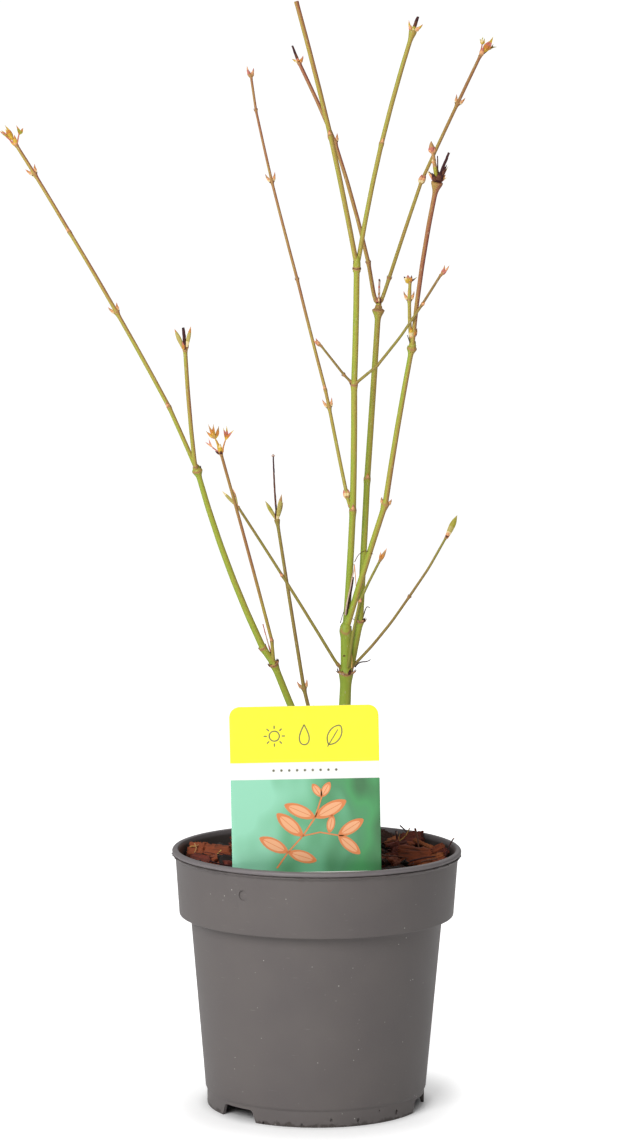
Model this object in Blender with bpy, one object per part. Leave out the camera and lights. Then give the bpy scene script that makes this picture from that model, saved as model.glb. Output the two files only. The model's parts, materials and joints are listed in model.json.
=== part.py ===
"""A young bare maple shrub in a round nursery pot, as separate closed solids.

The pot stands on z = 0 with its axis on the Z axis, and its front faces -Y.
The shrub rises from one foot in the growing medium.  Every shoot is grown by the same rule:
it leaves a node of its parent at a lean, turns a little at each of its own nodes, and carries
buds, young folded leaves or a dead stub at its tip.  Sizes in the tables are in millimetres.
"""

import math
import random
from dataclasses import dataclass

import bmesh
import bpy
from mathutils import Matrix, Vector

MM = 0.001
CLEAR = 0.3                 # gap kept between pieces that touch on the real plant, mm

# ---- pot ------------------------------------------------------------------------------------
POT_HEIGHT = 116.0
LIP_RADIUS = 65.0
COLLAR_TOP_RADIUS = 63.4    # under the lip
COLLAR_FOOT_RADIUS = 61.6
COLLAR_FOOT = 86.5          # height of the step on which pots rest when they are nested
BODY_TOP_RADIUS = 56.5      # under the step
BODY_TOP = 85.4
BODY_FOOT_RADIUS = 49.7
SKIRT_HEIGHT = 7.5          # the foot ring, a little narrower than the body
SKIRT_RADIUS = 48.9
WALL = 1.4
FLOOR_UNDERSIDE = 8.0
PAD_RADIUS = 9.0            # moulding pad under the middle of the floor, level with the foot ring
POT_SIDES = 56
NOTCH_TURNS = (-135.0, -15.0, 105.0)   # where the foot ring is open to drain, degrees
NOTCH_WIDTH = 20.0
NOTCH_HEIGHT = 5.5
DRAIN_COUNT = 6
DRAIN_RADIUS = 4.0
DRAIN_CIRCLE = 36.0

# ---- growing medium and bark mulch --------------------------------------------------------
MEDIUM_TOP = 104.0
MULCH_TOP = 106.2
MULCH_RADIUS = 60.4
MULCH_SIDES = 28
MULCH_ROUNDS = 4
CHIP_COUNT = 38
CHIP_LENGTH = (12.0, 20.0)
CHIP_WIDTH = (7.0, 11.0)
CHIP_THICK = (2.0, 4.0)
CHIP_REACH = 60.2           # no chip reaches further from the pot's axis

# ---- plant label: a plain card on a stake ---------------------------------------------------
LABEL_WIDTH = 64.8
LABEL_TOP = 186.0
LABEL_SHOULDER = 112.0      # where the card starts to narrow to its stake
LABEL_NECK = 97.0
LABEL_POINT = 52.0
STAKE_WIDTH = 18.0
LABEL_CORNER = 4.5
LABEL_THICK = 0.6
LABEL_PLACE = (-4.2, -47.0)  # its middle at the shoulder
LABEL_TILT = 1.37           # degrees it leans to its left

# ---- shrub ------------------------------------------------------------------------------------
FOOT = (11.6, 6.0, MEDIUM_TOP + CLEAR)
FLARE = 6.2                 # radius of the trunk's foot
FLARE_FALL = 3.4            # height in which the flare falls to about a third
STEP = 20.0                 # longest straight stretch of a shoot
RING = 1.45                 # a node is this much wider than its shoot
BOUGH_SIDES = 8
TWIG_SIDES = 6
BUD_SIDES = 5


@dataclass(frozen=True)
class Shoot:
    """One shoot: what it leaves, at which of its parent's nodes, and how it grows on."""

    parent: str
    node: float             # counted from the parent's foot; a part of one is between nodes
    lean: tuple             # degrees from upright towards +X and towards +Y as it leaves
    sweep: tuple            # how much each lean changes over the whole length
    heel: float             # mm from its parent's axis to its own
    internodes: tuple       # (mm, turn towards +X in degrees at its foot)
    across: tuple           # mm across at its foot and at its tip


@dataclass(frozen=True)
class Blade:
    """A bud or a young folded leaf at a tip."""

    length: float
    width: float
    lean: tuple


@dataclass(frozen=True)
class Stub:
    """A dead end of an older shoot."""

    length: float
    width: float
    lean: tuple
    bud: float = 0.0        # length of a bud on its end


SHOOTS = {
    "trunk": Shoot("", 0, (-0.3, -1.0), (4.8, 0.0), 0.0,
                   ((27, 0.0), (63, -1.3), (19, -3.7)), (7.2, 4.6)),
    "leader": Shoot("trunk", 3, (4.0, 3.0), (-5.4, -4.0), 0.0,
                    ((54, 0.0), (56, -1.0), (53, 2.5)), (3.1, 2.65)),
    "leader_left": Shoot("leader", 3, (-10.8, -6.0), (-4.4, -4.0), 0.0,
                         ((59, 0.0), (60, -0.7)), (2.3, 2.0)),
    "leader_right": Shoot("leader", 3, (8.9, 5.0), (8.0, 3.0), 0.6,
                          ((55, 0.0), (52, 0.5)), (2.1, 2.0)),
    "back": Shoot("trunk", 2, (10.9, 7.0), (-1.1, 0.0), 3.6,
                  ((21, 0.0), (64, -7.9), (79, 1.4)), (3.0, 2.6)),
    "back_left": Shoot("back", 3, (-9.0, 6.0), (-11.3, 6.0), 2.9,
                       ((17, 0.0), (57, -2.3), (40, -3.9)), (1.9, 1.7)),
    "back_right": Shoot("back", 3, (18.2, 14.0), (2.4, 2.0), 2.2,
                        ((11, 0.0), (48, -0.4), (40, 5.6), (25, -0.1)), (1.75, 1.45)),
    "right": Shoot("trunk", 3, (15.8, -5.0), (4.4, 4.0), 0.0,
                   ((60, 0.0), (70, -9.8)), (2.85, 2.3)),
    "right_tall": Shoot("right", 2, (4.5, -14.0), (6.5, -5.0), 0.5,
                        ((76, 0.0),), (1.95, 2.15)),
    "right_spur": Shoot("right", 2, (-7.0, 10.0), (10.8, 0.0), 0.0,
                        ((22, 0.0), (8, 0.0)), (1.8, 1.4)),
    "left": Shoot("trunk", 1, (-29.3, -3.0), (19.7, -2.0), 0.0,
                  ((74, 0.0), (9, -13.9), (85, 8.3)), (3.6, 2.4)),
    "left_far": Shoot("left", 3, (-23.5, 2.0), (-6.3, 4.0), 0.0,
                      ((31, 0.0), (48, -3.6), (41, 0.1), (30, 0.8), (15, -0.5)), (2.0, 1.55)),
    "left_spur": Shoot("left", 3, (-6.2, -14.0), (3.5, 4.0), 3.1,
                       ((53, 0.0),), (1.95, 1.8)),
    "left_front": Shoot("left", 1, (-4.7, -16.0), (-1.3, -4.0), 0.9,
                        ((11, 0.0), (92, -9.1)), (1.6, 1.35)),
    "low_back": Shoot("trunk", 0.6, (-14.3, 8.0), (1.0, -2.0), 3.0,
                      ((66, 0.0), (77, 4.2)), (1.9, 1.5)),
    "fork_front": Shoot("trunk", 2, (5.6, -15.0), (11.8, -4.0), 2.8,
                        ((33, 0.0), (22, 9.9)), (1.5, 1.15)),
    "fork_left": Shoot("trunk", 2, (-30.5, -13.0), (-2.7, 8.0), 5.7,
                       ((48, 0.0), (37, 0.0)), (1.5, 1.2)),
    "fork_right": Shoot("trunk", 2, (46.0, 14.0), (-22.2, 2.0), 2.7,
                        ((42, 0.0), (32, 3.8)), (1.4, 1.1)),
    "mid_right": Shoot("leader", 2, (51.5, -33.0), (-17.0, 16.0), 1.3,
                       ((13, 0.0), (36, -8.0), (16, 2.8)), (1.35, 1.15)),
    "mid_left": Shoot("leader", 2, (-45.0, -12.0), (10.9, 0.0), 2.4,
                      ((4, 0.0), (17, 0.0)), (1.2, 1.05)),
    "tall_left": Shoot("leader", 1, (-13.3, 12.0), (4.2, 2.0), 2.7,
                       ((5, 0.0), (41, 1.0), (8, -1.4), (52, -2.6), (47, -1.3), (34, 1.1),
                        (16, 3.8)), (1.65, 1.15)),
}

# What stands on the last node of a shoot, besides its parent's rings.
TIPS = {
    "leader_right": (Blade(5.6, 1.8, (-16, 12)), Blade(5.2, 1.8, (47, -12)),
                     Stub(6.9, 1.2, (13, 0))),
    "back_left": (Blade(3.8, 1.5, (-60, 10)), Blade(3.2, 1.5, (23, -25)),
                  Stub(8.0, 1.2, (-27, 8))),
    "back_right": (Blade(9.0, 2.0, (6, 20)), Blade(6.6, 1.8, (28, -20)),
                   Blade(9.2, 2.0, (43, 8)), Blade(6.2, 1.8, (53, 35))),
    "right_tall": (Stub(14.2, 1.8, (19, -10)), Stub(11.8, 1.0, (9, -30)),
                   Stub(12.4, 1.5, (-13, -12), bud=6.0), Blade(9.0, 1.6, (27, 15)),
                   Blade(4.8, 1.6, (49, -30))),
    "right_spur": (Blade(4.2, 1.7, (-60, 10)), Blade(4.2, 1.7, (-30, -25)),
                   Blade(4.0, 1.7, (25, 25)), Blade(4.0, 1.7, (60, -10))),
    "left_far": (Blade(10.3, 2.2, (-46, -12)), Blade(10.8, 2.2, (-23, 25)),
                 Blade(9.6, 2.0, (9, -18)), Blade(6.5, 1.8, (-68, 20))),
    "left_spur": (Stub(9.4, 2.0, (-2, -8)), Blade(9.6, 2.2, (-25, 8)),
                  Blade(10.6, 2.2, (12, -14))),
    "left_front": (Blade(14.3, 2.2, (-30, -20)), Blade(15.1, 2.0, (-14, 14)),
                   Blade(13.1, 2.2, (12, -20)), Blade(9.4, 2.2, (-44, 18)),
                   Blade(10.5, 2.0, (18, 26)), Blade(7.6, 1.8, (-56, -26))),
    "low_back": (Blade(9.6, 2.2, (-33, 12)), Blade(11.3, 2.2, (6, -20)),
                 Blade(11.0, 1.8, (16, 16)), Stub(29.3, 1.1, (-5.5, 6))),
    "fork_front": (Blade(7.5, 2.4, (27, -22)),),
    "fork_left": (Blade(10.3, 2.0, (-44, -6)), Blade(8.6, 2.0, (-13, 12))),
    "fork_right": (Blade(11.9, 2.4, (25, 14)),),
    "mid_right": (Blade(4.9, 1.6, (17, -6)), Blade(6.0, 1.6, (39, -22))),
    "mid_left": (Blade(4.3, 1.6, (-51, -2)), Blade(4.7, 1.6, (-31, -24))),
    "tall_left": (Blade(5.7, 1.7, (-18, 6)), Blade(5.1, 1.7, (13, 22))),
}

# Dead stubs that stand at the foot of a twig, where an older shoot was cut.
FOOT_STUBS = {
    "back_left": Stub(12.0, 1.6, (3, 10)),
    "left_front": Stub(18.7, 1.5, (-17, 12)),
}


@dataclass(frozen=True)
class Limb:
    """One solid of the shrub: the shoots fused in it and the limbs it keeps clear of."""

    shoots: tuple
    clear_of: tuple
    sides: int
    material: str


LIMBS = {
    "trunk": Limb(("trunk",), (), BOUGH_SIDES, "bark"),
    "bough_leader": Limb(("leader",), ("trunk",), BOUGH_SIDES, "bark"),
    "bough_right": Limb(("right",), ("trunk", "leader"), BOUGH_SIDES, "bark"),
    "bough_back": Limb(("back",), ("trunk",), BOUGH_SIDES, "bark"),
    "bough_left": Limb(("left",), ("trunk",), BOUGH_SIDES, "bark"),
    "crown_leader": Limb(("leader_left", "leader_right"), ("leader",), TWIG_SIDES, "twig"),
    "crown_back": Limb(("back_left", "back_right"), ("back",), TWIG_SIDES, "twig"),
    "crown_right": Limb(("right_tall", "right_spur"), ("right",), TWIG_SIDES, "twig"),
    "crown_left": Limb(("left_far", "left_spur"), ("left",), TWIG_SIDES, "twig"),
    "twig_left_front": Limb(("left_front",), ("left",), TWIG_SIDES, "twig"),
    "twig_low_back": Limb(("low_back",), ("trunk",), TWIG_SIDES, "twig"),
    "twig_fork_front": Limb(("fork_front",), ("trunk", "back"), TWIG_SIDES, "twig"),
    "twig_fork_left": Limb(("fork_left",), ("trunk",), TWIG_SIDES, "twig"),
    "twig_fork_right": Limb(("fork_right",), ("trunk", "back"), TWIG_SIDES, "twig"),
    "twig_mid_right": Limb(("mid_right",), ("leader",), TWIG_SIDES, "twig"),
    "twig_mid_left": Limb(("mid_left",), ("leader",), TWIG_SIDES, "twig"),
    "twig_tall_left": Limb(("tall_left",), ("leader",), TWIG_SIDES, "twig"),
}

# Colour, roughness.
FINISHES = {
    "pot": ((0.156, 0.138, 0.133), 0.46),
    "medium": ((0.035, 0.022, 0.015), 0.95),
    "mulch": ((0.145, 0.048, 0.022), 0.85),
    "label": ((0.86, 0.84, 0.30), 0.30),
    "bark": ((0.26, 0.34, 0.07), 0.55),
    "twig": ((0.36, 0.25, 0.09), 0.55),
}


# ---- general tools ----------------------------------------------------------------------------
def clear_scene():
    """Remove every object and mesh that the file starts with."""
    for thing in list(bpy.data.objects):
        bpy.data.objects.remove(thing, do_unlink=True)
    for mesh in list(bpy.data.meshes):
        bpy.data.meshes.remove(mesh)


def material(name):
    """The Principled material of one finish, made once."""
    found = bpy.data.materials.get(name)
    if found:
        return found
    colour, roughness = FINISHES[name]
    made = bpy.data.materials.new(name)
    made.use_nodes = True
    shader = made.node_tree.nodes["Principled BSDF"]
    shader.inputs["Base Color"].default_value = (*colour, 1.0)
    shader.inputs["Roughness"].default_value = roughness
    return made


def add_object(name, bm, finish=None, smooth_angle=35.0):
    """Put a finished bmesh into the scene as one object, faces pointing out."""
    bmesh.ops.recalc_face_normals(bm, faces=bm.faces)
    mesh = bpy.data.meshes.new(name)
    bm.to_mesh(mesh)
    bm.free()
    if finish:
        mesh.materials.append(material(finish))
        mesh.shade_smooth()
        mesh.set_sharp_from_angle(angle=math.radians(smooth_angle))
    thing = bpy.data.objects.new(name, mesh)
    bpy.context.collection.objects.link(thing)
    return thing


def bake(thing):
    """Replace an object's mesh by the result of its modifiers."""
    bpy.context.view_layer.update()
    seen = thing.evaluated_get(bpy.context.evaluated_depsgraph_get())
    mesh = bpy.data.meshes.new_from_object(seen)
    thing.modifiers.clear()
    thing.data = mesh


def drop_scraps(thing):
    """Keep only the largest connected body of an object's mesh."""
    bm = bmesh.new()
    bm.from_mesh(thing.data)
    left = set(bm.verts)
    bodies = []
    while left:
        body, edge = set(), [left.pop()]
        while edge:
            vert = edge.pop()
            body.add(vert)
            for link in vert.link_edges:
                other = link.other_vert(vert)
                if other in left:
                    left.discard(other)
                    edge.append(other)
        bodies.append(body)
    bodies.sort(key=len)
    scraps = [vert for body in bodies[:-1] for vert in body]
    bmesh.ops.delete(bm, geom=scraps, context="VERTS")
    bm.to_mesh(thing.data)
    bm.free()


def combine(thing, others, operation):
    """Join others to the object, or cut them from it, in one Boolean, and remove them."""
    if not others:
        return
    group = bpy.data.collections.new(thing.name + "_" + operation.lower())
    bpy.context.scene.collection.children.link(group)
    for other in others:
        bpy.context.collection.objects.unlink(other)
        group.objects.link(other)
    joint = thing.modifiers.new(operation.lower(), "BOOLEAN")
    joint.operation = operation
    joint.operand_type = "COLLECTION"
    joint.collection = group
    joint.solver = "EXACT"
    bake(thing)
    for other in others:
        bpy.data.objects.remove(other, do_unlink=True)
    bpy.data.collections.remove(group)
    drop_scraps(thing)


def turned(name, outline, sides, finish=None):
    """A solid turned about the Z axis from (radius, height) points in mm, foot to top."""
    bm = bmesh.new()
    points = [bm.verts.new((r * MM, 0.0, z * MM)) for r, z in outline]
    edges = [bm.edges.new(pair) for pair in zip(points, points[1:])]
    if outline[0][0] > 0 or outline[-1][0] > 0:
        edges.append(bm.edges.new((points[-1], points[0])))
    bmesh.ops.spin(bm, geom=points + edges, cent=(0, 0, 0), axis=(0, 0, 1),
                   angle=math.tau, steps=sides, use_merge=True)
    bmesh.ops.remove_doubles(bm, verts=bm.verts, dist=1e-6)
    return add_object(name, bm, finish)


def prism(name, outline, depth, finish=None):
    """A plate of the (x, z) outline in mm, its thickness along Y and its middle at y = 0."""
    bm = bmesh.new()
    face = bm.faces.new([bm.verts.new((x * MM, -depth / 2 * MM, z * MM)) for x, z in outline])
    made = bmesh.ops.extrude_face_region(bm, geom=[face])
    moved = [v for v in made["geom"] if isinstance(v, bmesh.types.BMVert)]
    bmesh.ops.translate(bm, verts=moved, vec=(0, depth * MM, 0))
    return add_object(name, bm, finish, smooth_angle=20.0)


def arc(centre, radius, start, end, steps):
    """Points on an arc, angles in degrees."""
    turns = [math.radians(start + (end - start) * i / steps) for i in range(steps + 1)]
    return [(centre[0] + radius * math.cos(a), centre[1] + radius * math.sin(a)) for a in turns]


# ---- pot --------------------------------------------------------------------------------------
def inner_wall():
    """The inside of the pot from the floor up to the mouth, as (radius, height)."""
    slope = (BODY_TOP_RADIUS - BODY_FOOT_RADIUS) / (BODY_TOP - SKIRT_HEIGHT)
    floor = FLOOR_UNDERSIDE + WALL
    return [
        (BODY_FOOT_RADIUS + slope * (floor - SKIRT_HEIGHT) - WALL, floor),
        (BODY_TOP_RADIUS - WALL, BODY_TOP + 1.2),
        (BODY_TOP_RADIUS - WALL + 0.8, BODY_TOP + 2.2),
        (COLLAR_FOOT_RADIUS - WALL - 1.2, COLLAR_FOOT + WALL - 0.1),
        (COLLAR_FOOT_RADIUS - WALL, COLLAR_FOOT + WALL + 1.0),
        (COLLAR_TOP_RADIUS - WALL, POT_HEIGHT - 2.2),
    ]


def build_pot():
    """Thin-walled pot: body, stepped collar, rolled lip, foot ring with three drain notches."""
    outline = [
        (0.0, 0.0),
        (PAD_RADIUS, 0.0),
        (PAD_RADIUS + 0.6, FLOOR_UNDERSIDE),
        (SKIRT_RADIUS - 1.7, FLOOR_UNDERSIDE),
        (SKIRT_RADIUS - 1.5, 0.0),
        (SKIRT_RADIUS, 0.0),
        (SKIRT_RADIUS + 0.1, SKIRT_HEIGHT - 0.5),
        (BODY_FOOT_RADIUS, SKIRT_HEIGHT + 0.6),
        (BODY_TOP_RADIUS, BODY_TOP),
        (BODY_TOP_RADIUS + 0.7, BODY_TOP + 0.6),
        (COLLAR_FOOT_RADIUS - 0.7, COLLAR_FOOT - 0.2),
        (COLLAR_FOOT_RADIUS, COLLAR_FOOT + 0.4),
        (COLLAR_TOP_RADIUS, POT_HEIGHT - 3.9),
    ]
    outline += arc((LIP_RADIUS - 1.5, POT_HEIGHT - 1.5), 1.5, -50, 170, 6)
    outline += list(reversed(inner_wall()))
    outline.append((0.0, FLOOR_UNDERSIDE + WALL))
    pot = turned("pot", outline, POT_SIDES, "pot")

    cutters = []
    for turn in NOTCH_TURNS:
        half = NOTCH_WIDTH / 2
        wedge = [(-half - 1, -1), (half + 1, -1), (half - 1.5, NOTCH_HEIGHT),
                 (-half + 1.5, NOTCH_HEIGHT)]
        cutter = prism("notch", wedge, 10.0)
        cutter.data.transform(Matrix.Rotation(math.radians(turn + 90), 4, "Z")
                              @ Matrix.Translation((0, -SKIRT_RADIUS * MM, 0)))
        cutters.append(cutter)
    for i in range(DRAIN_COUNT):
        turn = math.tau * (i + 0.5) / DRAIN_COUNT
        bm = bmesh.new()
        bmesh.ops.create_cone(bm, cap_ends=True, segments=12, radius1=DRAIN_RADIUS * MM,
                              radius2=DRAIN_RADIUS * MM, depth=6 * MM)
        place = Vector((math.cos(turn) * DRAIN_CIRCLE, math.sin(turn) * DRAIN_CIRCLE,
                        FLOOR_UNDERSIDE + WALL / 2))
        bmesh.ops.translate(bm, verts=bm.verts, vec=place * MM)
        cutters.append(add_object("drain", bm))
    combine(pot, cutters, "DIFFERENCE")


# ---- label ------------------------------------------------------------------------------------
def label_outline(grow):
    """The card and its stake as (x, z), made wider all round by grow."""
    half, stake = LABEL_WIDTH / 2 + grow, STAKE_WIDTH / 2 + grow
    top, corner = LABEL_TOP + grow, LABEL_CORNER
    low = LABEL_SHOULDER - grow
    outline = [(-half, low), (-stake, LABEL_NECK - grow), (-stake * 0.8, LABEL_POINT + 12),
               (0, LABEL_POINT - grow), (stake * 0.8, LABEL_POINT + 12),
               (stake, LABEL_NECK - grow), (half, low)]
    outline += arc((half - corner, top - corner), corner, 0, 90, 5)
    outline += arc((corner - half, top - corner), corner, 90, 180, 5)
    return outline


def label_plate(name, grow, finish=None):
    """The label, or a thicker cutter of its shape, where it stands in the pot."""
    plate = prism(name, label_outline(grow), LABEL_THICK + 2 * grow, finish)
    pivot = Vector((LABEL_PLACE[0], LABEL_PLACE[1], LABEL_SHOULDER)) * MM
    level = Vector((0, 0, LABEL_SHOULDER * MM))
    plate.data.transform(Matrix.Translation(pivot)
                         @ Matrix.Rotation(math.radians(-LABEL_TILT), 4, "Y")
                         @ Matrix.Translation(-level))
    return plate


# ---- growing medium and mulch ---------------------------------------------------------------
def build_medium():
    """The growing medium that fills the pot, with the slot that the label's stake makes."""
    floor, *wall = [(r - CLEAR - 0.05, z + CLEAR) for r, z in inner_wall()]
    wall = [point for point in wall if point[1] < MEDIUM_TOP]
    mouth = inner_wall()[-1]
    shelf = inner_wall()[-2]
    share = (MEDIUM_TOP - shelf[1]) / (mouth[1] - shelf[1])
    edge = shelf[0] + share * (mouth[0] - shelf[0]) - CLEAR - 0.05
    outline = [(0.0, floor[1]), floor, *wall,
               (edge, MEDIUM_TOP), (0.0, MEDIUM_TOP)]
    medium = turned("growing_medium", outline, POT_SIDES, "medium")
    combine(medium, [label_plate("slot", CLEAR + 0.05)], "DIFFERENCE")


def chip_shape(draw):
    """One torn bark chip as a bmesh in mm: a tapered block lying nearly flat on the bed."""
    bm = bmesh.new()
    bmesh.ops.create_cube(bm, size=1.0)
    size = Vector((draw.uniform(*CHIP_LENGTH), draw.uniform(*CHIP_WIDTH),
                   draw.uniform(*CHIP_THICK)))
    taper = draw.uniform(0.5, 0.85)
    for vert in bm.verts:
        narrow = taper if vert.co.x > 0 else 1.0
        vert.co = Vector((vert.co.x * size.x, vert.co.y * size.y * narrow,
                          vert.co.z * size.z * (0.55 + 0.45 * narrow)))
        vert.co += Vector([draw.uniform(-0.5, 0.5) for _ in range(3)])
    tilt = Matrix.Rotation(draw.uniform(-0.35, 0.35), 4, "X")
    tilt = tilt @ Matrix.Rotation(draw.uniform(-0.3, 0.3), 4, "Y")
    bm.transform(Matrix.Rotation(draw.uniform(0, math.tau), 4, "Z") @ tilt)
    place = math.sqrt(draw.random()) * CHIP_REACH
    turn = draw.uniform(0, math.tau)
    height = MULCH_TOP + draw.uniform(0.2, 2.2)
    bmesh.ops.translate(bm, verts=bm.verts,
                        vec=(place * math.cos(turn), place * math.sin(turn), height))
    return bm


def has_room(bm):
    """Whether a chip keeps inside the pot and off the trunk's foot and the label."""
    for x, y, z in (vert.co for vert in bm.verts):
        if math.hypot(x, y) > CHIP_REACH or not MEDIUM_TOP + 0.6 < z < POT_HEIGHT - 3.0:
            return False
    middle = sum((vert.co for vert in bm.verts), Vector()) / len(bm.verts)
    from_foot = math.hypot(middle.x - FOOT[0], middle.y - FOOT[1])
    from_label = abs(middle.y - LABEL_PLACE[1])
    return from_foot > CHIP_LENGTH[1] * 0.75 and from_label > CHIP_WIDTH[1] * 0.8


def chips(draw):
    """All the chips, each drawn again until it has room."""
    found = []
    while len(found) < CHIP_COUNT:
        bm = chip_shape(draw)
        if not has_room(bm):
            bm.free()
            continue
        bm.transform(Matrix.Scale(MM, 4))
        found.append(add_object(f"chip_{len(found)}", bm))
    return found


def build_mulch():
    """A lumpy bed of bark with chips standing out of it, open round the trunk's foot."""
    draw = random.Random(11)
    bm = bmesh.new()
    rounds = []
    for ring in range(1, MULCH_ROUNDS + 1):
        radius = MULCH_RADIUS * ring / MULCH_ROUNDS
        lumps = [draw.uniform(-0.7, 0.7) for _ in range(MULCH_SIDES)]
        angles = [math.tau * i / MULCH_SIDES for i in range(MULCH_SIDES)]
        rounds.append([bm.verts.new((radius * math.cos(a), radius * math.sin(a),
                                     MULCH_TOP + lump)) for a, lump in zip(angles, lumps)])
    low = [bm.verts.new((v.co.x, v.co.y, MEDIUM_TOP + CLEAR)) for v in rounds[-1]]
    for inner, outer in zip(rounds, rounds[1:] + [low]):
        for i in range(MULCH_SIDES):
            j = (i + 1) % MULCH_SIDES
            bm.faces.new((inner[i], inner[j], outer[j], outer[i]))
    bm.faces.new(rounds[0])
    bm.faces.new(list(reversed(low)))
    bmesh.ops.triangulate(bm, faces=[f for f in bm.faces if len(f.verts) == 4])
    bm.transform(Matrix.Scale(MM, 4))
    mulch = add_object("bark_mulch", bm, "mulch")
    combine(mulch, chips(draw), "UNION")

    bm = bmesh.new()
    bmesh.ops.create_cone(bm, cap_ends=True, segments=16, radius1=(FLARE + 1.2) * MM,
                          radius2=(FLARE + 1.2) * MM, depth=40 * MM)
    bmesh.ops.translate(bm, verts=bm.verts, vec=Vector(FOOT) * MM)
    hole = add_object("foot_hole", bm)
    combine(mulch, [hole, label_plate("slot", CLEAR + 0.05)], "DIFFERENCE")


# ---- shrub ------------------------------------------------------------------------------------
def heading(lean):
    """The unit direction that leans by these degrees towards +X and +Y."""
    return Vector((math.tan(math.radians(lean[0])), math.tan(math.radians(lean[1])),
                   1.0)).normalized()


def heel_heading(lean):
    """The direction in which a shoot stands off its parent before it turns up."""
    aside = Vector((math.tan(math.radians(lean[0])), math.tan(math.radians(lean[1]))))
    aside = aside.normalized() if aside.length > 0 else Vector((1.0, 0.0))
    return Vector((aside.x, aside.y, 0.9)).normalized()


@dataclass
class Grown:
    """The course of a shoot: its points, which of them are nodes, and the radius at each."""

    points: list
    nodes: list             # indices into points; the first is the shoot's own foot
    radii: list

    def at_node(self, number):
        """The point at a node number, which may lie between two nodes."""
        low = int(math.floor(number))
        share = number - low
        first = self.points[self.nodes[low]]
        if share == 0:
            return first
        return first.lerp(self.points[self.nodes[low + 1]], share)


def grow(shoot, grown):
    """Work out a shoot's course from its parent's."""
    start = grown[shoot.parent].at_node(shoot.node) if shoot.parent else Vector(FOOT)
    points = [start.copy()]
    place = start + heel_heading(shoot.lean) * shoot.heel
    if shoot.heel > 0:
        points.append(place)
    nodes = [len(points) - 1]
    whole = sum(length for length, _ in shoot.internodes)
    done, turned_by = 0.0, 0.0
    for length, turn in shoot.internodes:
        turned_by += turn
        steps = max(1, math.ceil(length / STEP))
        for _ in range(steps):
            stride = length / steps
            share = (done + stride / 2) / whole
            lean = (shoot.lean[0] + shoot.sweep[0] * share + turned_by,
                    shoot.lean[1] + shoot.sweep[1] * share)
            place = place + heading(lean) * stride
            done += stride
            points.append(place)
        nodes.append(len(points) - 1)
    run = [0.0]
    for first, second in zip(points, points[1:]):
        run.append(run[-1] + (second - first).length)
    foot, tip = shoot.across
    radii = [(foot + (tip - foot) * step / run[-1]) / 2 for step in run]
    return Grown(points, nodes, radii)


def stations(course, ringed, extend=0.0, grow_by=0.0):
    """Centre and radius of each ring of a shoot's tube, with a swelling at each node."""
    found = []
    last = len(course.points) - 1
    for i, (point, radius) in enumerate(zip(course.points, course.radii)):
        before = course.points[i] - course.points[i - 1] if i else None
        after = course.points[i + 1] - point if i < last else None
        if i not in course.nodes[1:] or not ringed:
            found.append((point, radius))
            continue
        width = max(1.0, radius)
        back = before.normalized()
        on = after.normalized() if after else back
        found.append((point - back * width * 1.1, radius))
        found.append((point - back * width * 0.3, radius * RING))
        if after:
            found.append((point + on * width * 0.35, radius * RING * 0.96))
            found.append((point + on * width * 1.1, radius * 1.02))
        else:
            found.append((point + on * width * 0.5, radius * RING * 0.92))
    found = [(centre, radius + grow_by) for centre, radius in found]
    if extend:
        head = (found[0][0] - found[1][0]).normalized()
        tail = (found[-1][0] - found[-2][0]).normalized()
        found[0] = (found[0][0] + head * extend, found[0][1])
        found[-1] = (found[-1][0] + tail * extend, found[-1][1])
    return found


def flared(found):
    """Widen the lowest rings of the trunk into its root flare."""
    foot, radius = found[0]
    up = (found[1][0] - foot).normalized()
    rings = []
    for height in (0.0, 1.6, 3.6, 6.5, 10.5):
        wide = radius + (FLARE - radius) * math.exp(-height / FLARE_FALL)
        rings.append((foot + up * height, wide))
    return rings + found[1:]


def tube(name, found, sides, finish=None, turn=0.0):
    """A closed tube through the given rings, its ends flat."""
    bm = bmesh.new()
    along = (found[1][0] - found[0][0]).normalized()
    side = along.orthogonal().normalized()
    rings = []
    for i, (centre, radius) in enumerate(found):
        ahead = found[min(i + 1, len(found) - 1)][0] - found[max(i - 1, 0)][0]
        ahead.normalize()
        side = (side - ahead * side.dot(ahead)).normalized()
        across = ahead.cross(side)
        ring = []
        for k in range(sides):
            a = math.tau * k / sides + turn
            offset = side * math.cos(a) + across * math.sin(a)
            ring.append(bm.verts.new((centre + offset * radius) * MM))
        rings.append(ring)
    for low, high in zip(rings, rings[1:]):
        for k in range(sides):
            j = (k + 1) % sides
            bm.faces.new((low[k], low[j], high[j], high[k]))
    bm.faces.new(list(reversed(rings[0])))
    bm.faces.new(rings[-1])
    return add_object(name, bm, finish)


def spindle(name, foot, direction, length, width):
    """A bud: thickest below its middle and pointed at its end."""
    bm = bmesh.new()
    side = direction.orthogonal().normalized()
    across = direction.cross(side)
    rings = []
    for share, wide in ((0.0, 0.6), (0.42, 1.0)):
        centre = foot + direction * length * share
        ring = []
        for k in range(BUD_SIDES):
            a = math.tau * k / BUD_SIDES + 0.4
            offset = (side * math.cos(a) + across * math.sin(a)) * width * wide / 2
            ring.append(bm.verts.new((centre + offset) * MM))
        rings.append(ring)
    tip = bm.verts.new((foot + direction * length) * MM)
    for low, high in zip(rings, rings[1:]):
        for k in range(BUD_SIDES):
            j = (k + 1) % BUD_SIDES
            bm.faces.new((low[k], low[j], high[j], high[k]))
    for k in range(BUD_SIDES):
        bm.faces.new((rings[-1][k], rings[-1][(k + 1) % BUD_SIDES], tip))
    bm.faces.new(list(reversed(rings[0])))
    return add_object(name, bm)


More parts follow.
